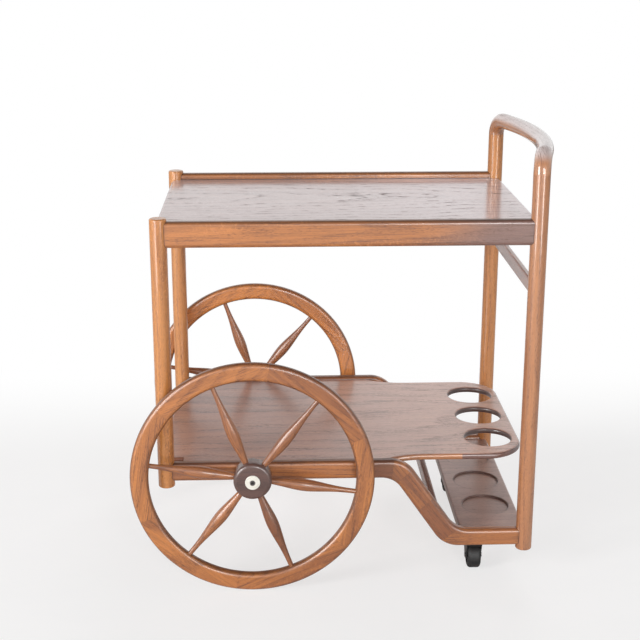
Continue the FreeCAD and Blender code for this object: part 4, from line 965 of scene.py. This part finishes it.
@dataclass
class TurnedPiece:
    """A round piece spun from a profile about an axis."""

    profile: Sequence[Span]
    centre: Vector
    axis: Vector
    steps: int = 96
    merging: float = 0.00001

    def build(self) -> bmesh.types.BMesh:
        """Spin the profile, a ring of points of radius and height."""
        shape = bmesh.new()
        points = [shape.verts.new((radius, 0.0, height)) for radius, height in self.profile]
        for pair in zip(points, points[1:]):
            shape.edges.new(pair)
        bmesh.ops.spin(shape, geom=shape.verts[:] + shape.edges[:], cent=(0, 0, 0), axis=(0, 0, 1),
                       angle=math.tau, steps=self.steps, use_merge=True, use_duplicate=False)
        bmesh.ops.remove_doubles(shape, verts=shape.verts, dist=self.merging)
        bmesh.ops.recalc_face_normals(shape, faces=shape.faces)
        turn = Vector((0, 0, 1)).rotation_difference(self.axis).to_matrix().to_4x4()
        bmesh.ops.transform(shape, matrix=Matrix.Translation(self.centre) @ turn, verts=shape.verts)
        return shape


def finish_piece(shape: bmesh.types.BMesh, name: str, material: Material,
                 body: str, node: str) -> None:
    """Turn a shape into a piece of the cart.

    Args:
        shape: the shape, in place; it is freed.
        name: name of the piece.
        material: its finish.
        body: body that it rides on.
        node: node that it stands for.
    """
    mesh = bpy.data.meshes.new(name)
    for face in shape.faces:
        face.smooth = True
    shape.to_mesh(mesh)
    shape.free()
    mesh.set_sharp_from_angle(angle=HARD_EDGE)
    mesh.materials.append(material)
    piece = new_object(name, mesh)
    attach(piece, body)
    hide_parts(node)
    LOG.info("built %s on %s", name, body)


@dataclass
class CartFrame:
    """The standing frame: posts, rails, boards and push bar."""

    post_nodes: tuple[str, ...] = ("post_front_left", "post_back_left",
                                   "post_front_right", "post_back_right")
    post_oaks: tuple[Oak, ...] = (LEFT_POST_OAK, BACK_POST_OAK, RIGHT_POST_OAK, BACK_POST_OAK)
    cuts: tuple[Cut, ...] = (
        Cut(0.021, 0.237), Cut(0.0896, 0.227, math.radians(5)),
        Cut(0.1127, 0.2145, math.radians(49)), Cut(0.1543, 0.1570, math.radians(48)),
        Cut(0.2055, 0.0960, math.radians(54)))
    cut_tones: tuple[float, ...] = (0.12, 0.42, 0.15, 0.45, 0.6, 0.05)
    slope: float = math.radians(50)
    # Painted reflections: the shelf paler towards its right, the front rail greyer and duller
    # towards its right end, and the panel paler towards its right.
    shelf_reflection: PaintedReflection = PaintedReflection(-0.2, 0.22, (0.72, 0.45, 0.36), 0.78)
    rail_reflection: PaintedReflection = PaintedReflection(0.10, 0.27, (0.185, 0.108, 0.096), 0.88)
    # Painted reflection: the push bar's upper side is painted pale, where its lacquer would mirror
    # the white surroundings.
    bar_top_reflection: PaintedTopReflection = PaintedTopReflection(0.800, 0.821, (0.76, 0.66, 0.65))
    panel_reflection: PaintedReflection = PaintedReflection(-0.1, 0.35, (0.72, 0.50, 0.53), 0.62)
    seat_x: float = 0.2880
    seat_pitch: float = 0.1205
    seat_radius: float = 0.0455
    hole_radius: float = 0.045
    rail_inner: float = 0.22625
    rail_top: float = 0.7017
    panel_top: float = 0.6893
    shelf_top: float = 0.2403
    tray_top: float = 0.0958
    tray_left: float = 0.2222
    side_rail_top: float = 0.2457
    strip_change: float = 0.226
    strip_pale: Colour = (0.50, 0.19, 0.06)
    strip_dark: Colour = (0.17, 0.075, 0.055)
    post_shift: float = 0.37
    rail_shift: float = 0.53

    def joints(self) -> list[RoundJoint]:
        """Find the glue line round each post."""
        lines = []
        for node in self.post_nodes:
            low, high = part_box(node)
            middle = centre_of(node)
            lines.append(RoundJoint(middle.x, middle.y, (high[0] - low[0]) / 2))
        return lines

    def dress_posts(self) -> None:
        """Finish the four posts with upright grain, each from a timber of its own."""
        for count, node in enumerate(self.post_nodes):
            middle = centre_of(node)
            start = Vector((middle.x, middle.y, self.post_shift * count))
            grain = Grain(start, UPRIGHT, Vector((0.3, -1.0, 0.0)),
                          heart=(0.004 + 0.003 * count, -0.022), lean=0.012)
            paint(node, self.post_oaks[count].material(node, grain))

    def dress_rails(self) -> None:
        """Finish the top rails, side rails and cross rails."""
        lines = self.joints()
        outwards = Vector((0.0, -1.0, 0.0))
        for count, side in enumerate(SIDES):
            node = f"top_rail_{side}"
            shift = LENGTHWISE * (self.rail_shift * count)
            grain = Grain(centre_of(node) + shift, LENGTHWISE, outwards,
                          heart=(0.012, -0.035), lean=0.03)
            # Glue lines round the posts, painted shade over the rail's rounded top, and painted
            # shade in the corner where the panel meets the rail.
            glue_lines_and_shade = [*lines, CrestShade(self.rail_top), CreaseShade(self.rail_inner, self.panel_top)]
            painted_reflection = self.rail_reflection if side == "front" else None
            paint(node, RAIL_OAK.material(node, grain, glue_lines_and_shade, painted_reflection))
            node = f"side_rail_{side}"
            grain = PiecedGrain(centre_of(node) + shift, LENGTHWISE, outwards,
                                heart=(0.02, -0.03), lean=0.05, cuts=self.cuts,
                                slope=self.slope, tones=self.cut_tones)
            # Glue lines round the posts and at the side rail's own cuts, painted shade over its
            # rounded top, and painted shade in the corner where the shelf meets it.
            glue_lines_and_shade = [*lines, *self.cuts, CrestShade(self.side_rail_top),
                      CreaseShade(self.rail_inner, self.shelf_top)]
            paint(node, SIDE_OAK.material(node, grain, glue_lines_and_shade))
        for node, oak in (("upper_cross_rail", SHELF_OAK), ("lower_cross_rail", CROSS_OAK)):
            grain = Grain(centre_of(node), CROSSWISE, LENGTHWISE, heart=(0.01, -0.03))
            paint(node, oak.material(node, grain, lines))

    def dress_boards(self) -> None:
        """Finish the panel, the shelf and the bottle tray in flat-sawn timber."""
        rows = [self.seat_pitch * step for step in (-1, 0, 1)]
        # Painted shade: a dark ring round each seat's rounded rim in the tray.
        seat_rim_shade = [RoundJoint(self.seat_x, y, self.seat_radius, 0.5, 0.003) for y in rows]
        # Painted shade: a dark ring down the wall of each hole in the shelf.
        holes = [RoundJoint(self.seat_x, y, self.hole_radius, 0.6, 0.002) for y in rows]
        strip = EdgeStrip(self.shelf_top, self.strip_change, self.strip_pale, self.strip_dark)
        # Painted shade: a dark band on the tray's left end.
        tray_end_shade = Cut(self.tray_left, self.tray_top, strength=0.5, width=0.003)
        # Painted shade lies in the corners where the panel and the tray meet the rails, besides the
        # glue lines round the posts.
        lines = {
            "top_panel": [*self.joints(), CreaseShade(self.rail_inner, self.panel_top)],
            "shelf": [*self.joints(), *holes],
            "bottle_tray": [*seat_rim_shade, CreaseShade(self.rail_inner, self.tray_top), tray_end_shade],
        }
        boards = (
            ("top_panel", PANEL_OAK, (0.04, -0.10), 0.09, self.panel_reflection, None),
            ("shelf", SHELF_OAK, (-0.03, -0.10), 0.05, self.shelf_reflection, strip),
            ("bottle_tray", TRAY_OAK, (0.02, -0.04), 0.02, None, None),
        )
        for count, (node, oak, heart, lean, painted_reflection, edge) in enumerate(boards):
            start = centre_of(node) + Vector((0.2, 0.03 * count, 0.0))
            grain = Grain(start, LENGTHWISE, UPRIGHT, heart, lean)
            paint(node, oak.material(node, grain, lines[node], painted_reflection, edge))

    def dress_push_bar(self) -> None:
        """Finish the push bar, with the grain bent along it."""
        low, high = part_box("handle_bar")
        post_low, post_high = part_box("post_front_right")
        thickness = post_high[0] - post_low[0]
        radius = high[2] - thickness / 2 - post_high[2]
        start = Vector(((post_low[0] + post_high[0]) / 2, 0.0, 0.0))
        grain = BentGrain(start, CROSSWISE, UPRIGHT, heart=(0.01, -0.03), lean=0.02, radius=radius,
                          bend_y=high[1] - thickness / 2 - radius, bend_z=post_high[2])
        paint("handle_bar", RIGHT_POST_OAK.material("handle_bar", grain, (), self.bar_top_reflection))

    def dress(self) -> None:
        """Finish every piece of the frame."""
        self.dress_posts()
        self.dress_rails()
        self.dress_boards()
        self.dress_push_bar()
        grain = Grain(Vector(), LENGTHWISE, UPRIGHT)
        beech = BEECH.material("frame", grain)
        for node in ("frame_dowels", "handle_dowels"):
            paint(node, beech)


@dataclass
class LargeWheel:
    """One spoked wheel with its turned hub."""

    side: str
    first_spoke: float
    leans: tuple[float, ...] = (0.02, 0.06, 0.2, -0.03, -0.08, 0.04)
    tones: tuple[float, ...] = (0.05, 0.28, 0.1, -0.1, 0.05, 0.2)
    # How much darker the whole rim is painted; the back wheel's negative tone is painted light for
    # the weaker light at the back.
    tone: float = 0.0
    hub_rounding: float = 0.007
    rim_inner: float = 0.191
    rim_outer: float = 0.225
    rim_middle: float = 0.2
    rim_shift: float = 0.31
    spoke_shift: float = 0.41
    spoke_tone: float = 0.1
    arc_steps: int = 5

    def axle(self) -> Vector:
        """Find the wheel's axle joint."""
        for joint in frame["joints"]:
            if joint["name"] == f"{self.side}_wheel_spin":
                return Vector(joint["pos_m"])
        raise LookupError(self.side)

    def spoke_angle(self, count: int) -> float:
        """Return the angle of a spoke about the axle, from +X towards +Z, in radians."""
        return self.first_spoke + count * math.tau / SPOKES

    def outward(self, count: int) -> Vector:
        """Return the way from the axle out along a spoke."""
        angle = self.spoke_angle(count)
        return Vector((math.cos(angle), 0.0, math.sin(angle)))

    def dress_rim(self) -> None:
        """Finish the rim's segments, each with its grain along its own chord."""
        axle = self.axle()
        step = math.tau / SPOKES
        # Glue lines between the segments, and painted shade over the rim's rounded edges.
        lines = [SpokedJoints(axle.x, axle.z, self.spoke_angle(0) + step / 2, step),
                 RimEdgeShade(axle.x, axle.z, self.rim_inner, self.rim_outer)]
        for count in range(SPOKES):
            outward = self.outward(count)
            chord = Vector((-outward.z, 0.0, outward.x))
            start = axle + outward * self.rim_middle + chord * (self.rim_shift * count)
            grain = Grain(start, chord, CROSSWISE, heart=(0.03 * (count % 3) - 0.02, -0.04),
                          lean=self.leans[count], tone=self.tones[count] + self.tone)
            node = f"{self.side}_rim_segment_{count + 1}"
            paint(node, RIM_OAK.material(node, grain, lines))

    def dress_spokes(self) -> None:
        """Finish the spokes, each with its grain along its own length."""
        axle = self.axle()
        for count in range(SPOKES):
            outward = self.outward(count)
            start = axle - outward * (self.spoke_shift * count)
            grain = Grain(start, outward, CROSSWISE, heart=(0.004, -0.012),
                          lean=0.01, tone=self.spoke_tone * (count % 3))
            node = f"{self.side}_spoke_{count + 1}"
            paint(node, SPOKE_OAK.material(node, grain))

    def build_hub(self) -> None:
        """Build the turned hub with its well rounded rims."""
        node = f"{self.side}_hub"
        low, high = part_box(node)
        radius = (high[2] - low[2]) / 2
        half = (high[1] - low[1]) / 2
        bush_low, bush_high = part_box(f"{self.side}_bush")
        bore = (bush_high[2] - bush_low[2]) / 2
        quarter = math.pi / 2
        arc = [quarter * step / self.arc_steps for step in range(self.arc_steps + 1)]
        rim = [(radius - self.hub_rounding * (1 - math.sin(turn)),
                half - self.hub_rounding * (1 - math.cos(turn))) for turn in arc]
        top = [(bore, half)] + rim
        profile = [(bore, 0.0)] + top + [(r, -h) for r, h in reversed(top)] + [(bore, 0.0)]
        turned = TurnedPiece(profile, centre_of(node), CROSSWISE)
        grain = Grain(centre_of(node), LENGTHWISE, CROSSWISE, heart=(0.0, -0.05))
        finish_piece(turned.build(), f"{self.side}_hub_turned", HUB_OAK.material(node, grain),
                     f"{self.side}_wheel", node)

    def dress(self) -> None:
        """Finish and build every piece of the wheel."""
        self.dress_rim()
        self.dress_spokes()
        self.build_hub()
        paint(f"{self.side}_bush", NYLON.material())
        grain = Grain(self.axle(), LENGTHWISE, UPRIGHT)
        paint(f"{self.side}_rim_dowels", BEECH.material(f"{self.side}_rim", grain))


@dataclass
class AxleFixings:
    """Heads of the axle bolts, with their sleeves and spacers."""

    axle: Vector

    def dress(self) -> None:
        """Finish the bolts, sleeves and spacers."""
        steel = TurnedMetal("turned_steel", (0.55, 0.55, 0.56), CROSSWISE, self.axle)
        paint("axle_bolts", SocketCap("ivory_cap", self.axle).material())
        paint("axle_inserts", steel.material())
        paint("axle_spacers", NYLON.material())


@dataclass
class Caster:
    """One black swivel caster."""

    side: str

    def dress(self) -> None:
        """Finish the plate, fork, wheel and pins."""
        middle = centre_of(f"{self.side}_caster_wheel")
        steel = TurnedMetal(f"{self.side}_pin_steel", (0.10, 0.10, 0.105), LENGTHWISE, middle)
        enamel = ENAMEL.material()
        paint(f"{self.side}_caster_plate", enamel)
        paint(f"{self.side}_caster_fork", enamel)
        paint(f"{self.side}_caster_wheel", BLACK_WHEEL.material())
        paint(f"{self.side}_caster_axle", steel.material())
        paint(f"{self.side}_caster_kingpin", steel.material())


@dataclass
class Lamp:
    """A soft box that faces the cart."""

    name: str
    place: tuple[float, float, float]
    width: float
    height: float
    power: float
    mirrored: bool = True
    lighting: bool = True

    def build(self, target: Vector) -> None:
        """Hang the lamp and turn it towards a point.

        Args:
            target: the point.
        """
        light = bpy.data.lights.new(self.name, "AREA")
        light.shape = "RECTANGLE"
        light.size = self.width
        light.size_y = self.height
        light.energy = self.power
        lamp = new_object(self.name, light)
        lamp.location = self.place
        lamp.rotation_euler = (target - Vector(self.place)).to_track_quat("-Z", "Y").to_euler()
        lamp.visible_glossy = self.mirrored
        lamp.visible_diffuse = self.lighting


@dataclass
class Studio:
    """Plain pale floor, white surroundings, soft lamps and the camera."""

    camera_place: tuple[float, float, float] = (-0.13382, -2.45998, 1.18727)
    camera_turn: float = math.radians(-2.26)
    camera_fall: float = math.radians(16.74)
    camera_roll: float = math.radians(0.07)
    lens: float = 72.45
    sensor: float = 36.0
    floor_radius: float = 9.0
    floor_colour: Colour = (0.92, 0.90, 0.895)
    floor_glow: float = 0.67
    surround: float = 0.5
    ceiling: float = 0.3
    trodden: float = 0.94
    trodden_share: float = 0.5
    ceiling_rise: Span = (0.8, 0.3)
    paling: Span = (1.1, 3.2)
    paling_behind: Span = (0.3, 1.0)
    treading: ClassVar[Layer] = Layer((5.0, 9.0, 5.0), 4.0, 0.6, 0.45, 0.75)
    lamps: tuple[Lamp, ...] = field(default_factory=lambda: (
        Lamp("left_lamp", (-4.0, -2.8, 1.9), 1.4, 2.4, 150.0),
        Lamp("front_lamp", (1.2, -5.8, 2.1), 1.25, 2.2, 118.0),
        Lamp("back_lamp", (0.8, 3.0, 2.2), 1.6, 1.6, 45.0, mirrored=False),
        Lamp("left_strip", (-1.12, -1.45, 0.75), 0.5, 1.2, 13.0, lighting=False),
        Lamp("right_strip", (1.1, -2.0, 0.75), 0.5, 1.2, 13.0, lighting=False),
    ))

    def build_camera(self) -> None:
        """Set the camera at the viewing angle of the photograph."""
        data = bpy.data.cameras.new("camera")
        data.sensor_width = self.sensor
        data.lens = self.lens
        camera = new_object("camera", data)
        turn = (Matrix.Rotation(self.camera_turn, 4, "Z")
                @ Matrix.Rotation(math.pi / 2 - self.camera_fall, 4, "X")
                @ Matrix.Rotation(self.camera_roll, 4, "Z"))
        camera.matrix_world = Matrix.Translation(self.camera_place) @ turn
        bpy.context.scene.camera = camera

    def build_floor(self) -> None:
        """Lay a round floor that pales into the white surroundings away from the cart."""
        shape = bmesh.new()
        bmesh.ops.create_circle(shape, cap_ends=True, radius=self.floor_radius, segments=96)
        mesh = bpy.data.meshes.new("floor")
        shape.to_mesh(mesh)
        shape.free()
        new_object("floor", mesh)
        shader = Shader("pale_floor")
        place = shader.place()
        x, y, _ = shader.split(place)
        trodden = tuple(self.trodden * part for part in self.floor_colour)
        share = self.treading.read(shader, place) * self.trodden_share
        colour = shader.blend(share, self.floor_colour, trodden)
        matt = shader.node("ShaderNodeBsdfDiffuse", {}, {"Color": colour})
        white = shader.node("ShaderNodeEmission", {}, {"Color": (1.0, 1.0, 1.0), "Strength": 1.0})
        seen = Value(shader, shader.node("ShaderNodeLightPath").outputs["Is Camera Ray"])
        far = hypotenuse(x, y).ramp(*self.paling).at_least(y.ramp(*self.paling_behind))
        share = (far * (1 - self.floor_glow) + self.floor_glow) * seen
        mixed = shader.node("ShaderNodeMixShader", {}, {
            0: share, 1: matt.outputs[0], 2: white.outputs[0]})
        shader.node("ShaderNodeOutputMaterial", {}, {"Surface": mixed.outputs[0]})
        mesh.materials.append(shader.material)

    def build_surroundings(self) -> None:
        """Make a world that is seen white; as a light and in mirrors it is grey above."""
        world = bpy.data.worlds.new("surroundings")
        bpy.context.scene.world = world
        net = Network(world)
        _, _, height = net.split(net.node("ShaderNodeTexCoord").outputs["Generated"])
        path = net.node("ShaderNodeLightPath")
        through = Value(net, path.outputs["Is Transmission Ray"])
        mirrored = Value(net, path.outputs["Is Glossy Ray"]).at_least(through)
        glow = height.ramp(*self.ceiling_rise) * (1 - self.ceiling) + self.ceiling
        lit = glow * (mirrored * (1 - self.surround) + self.surround)
        strength = lit.at_least(Value(net, path.outputs["Is Camera Ray"]))
        sky = net.node("ShaderNodeBackground", {}, {
            "Color": (1.0, 1.0, 1.0), "Strength": strength})
        net.node("ShaderNodeOutputWorld", {}, {"Surface": sky.outputs[0]})

    def build(self) -> None:
        """Set up the whole studio."""
        bpy.context.scene.view_settings.view_transform = "Standard"
        self.build_camera()
        self.build_floor()
        self.build_surroundings()
        target = (Vector(CAD_BOX[0]) + Vector(CAD_BOX[1])) / 2
        for lamp in self.lamps:
            lamp.build(target)
        LOG.info("studio with %d lamps", len(self.lamps))


def main() -> None:
    """Dress the cart and set up its studio."""
    logging.basicConfig(level=logging.INFO, format="%(name)s: %(message)s")
    Studio().build()
    CartFrame().dress()
    wheels = [LargeWheel("front", math.radians(-8.5)),
              # The back wheel's rims are painted lighter: painted light that makes up for the
              # weaker light at the back.
              LargeWheel("back", math.radians(-10.3), tone=-0.45)]
    for wheel in wheels:
        wheel.dress()
    AxleFixings(wheels[0].axle()).dress()
    for side in SIDES:
        Caster(side).dress()
    steel = TurnedMetal("screw_steel", (0.5, 0.5, 0.51), UPRIGHT, Vector())
    paint("caster_screws", steel.material())


if __name__ == "__main__":
    main()
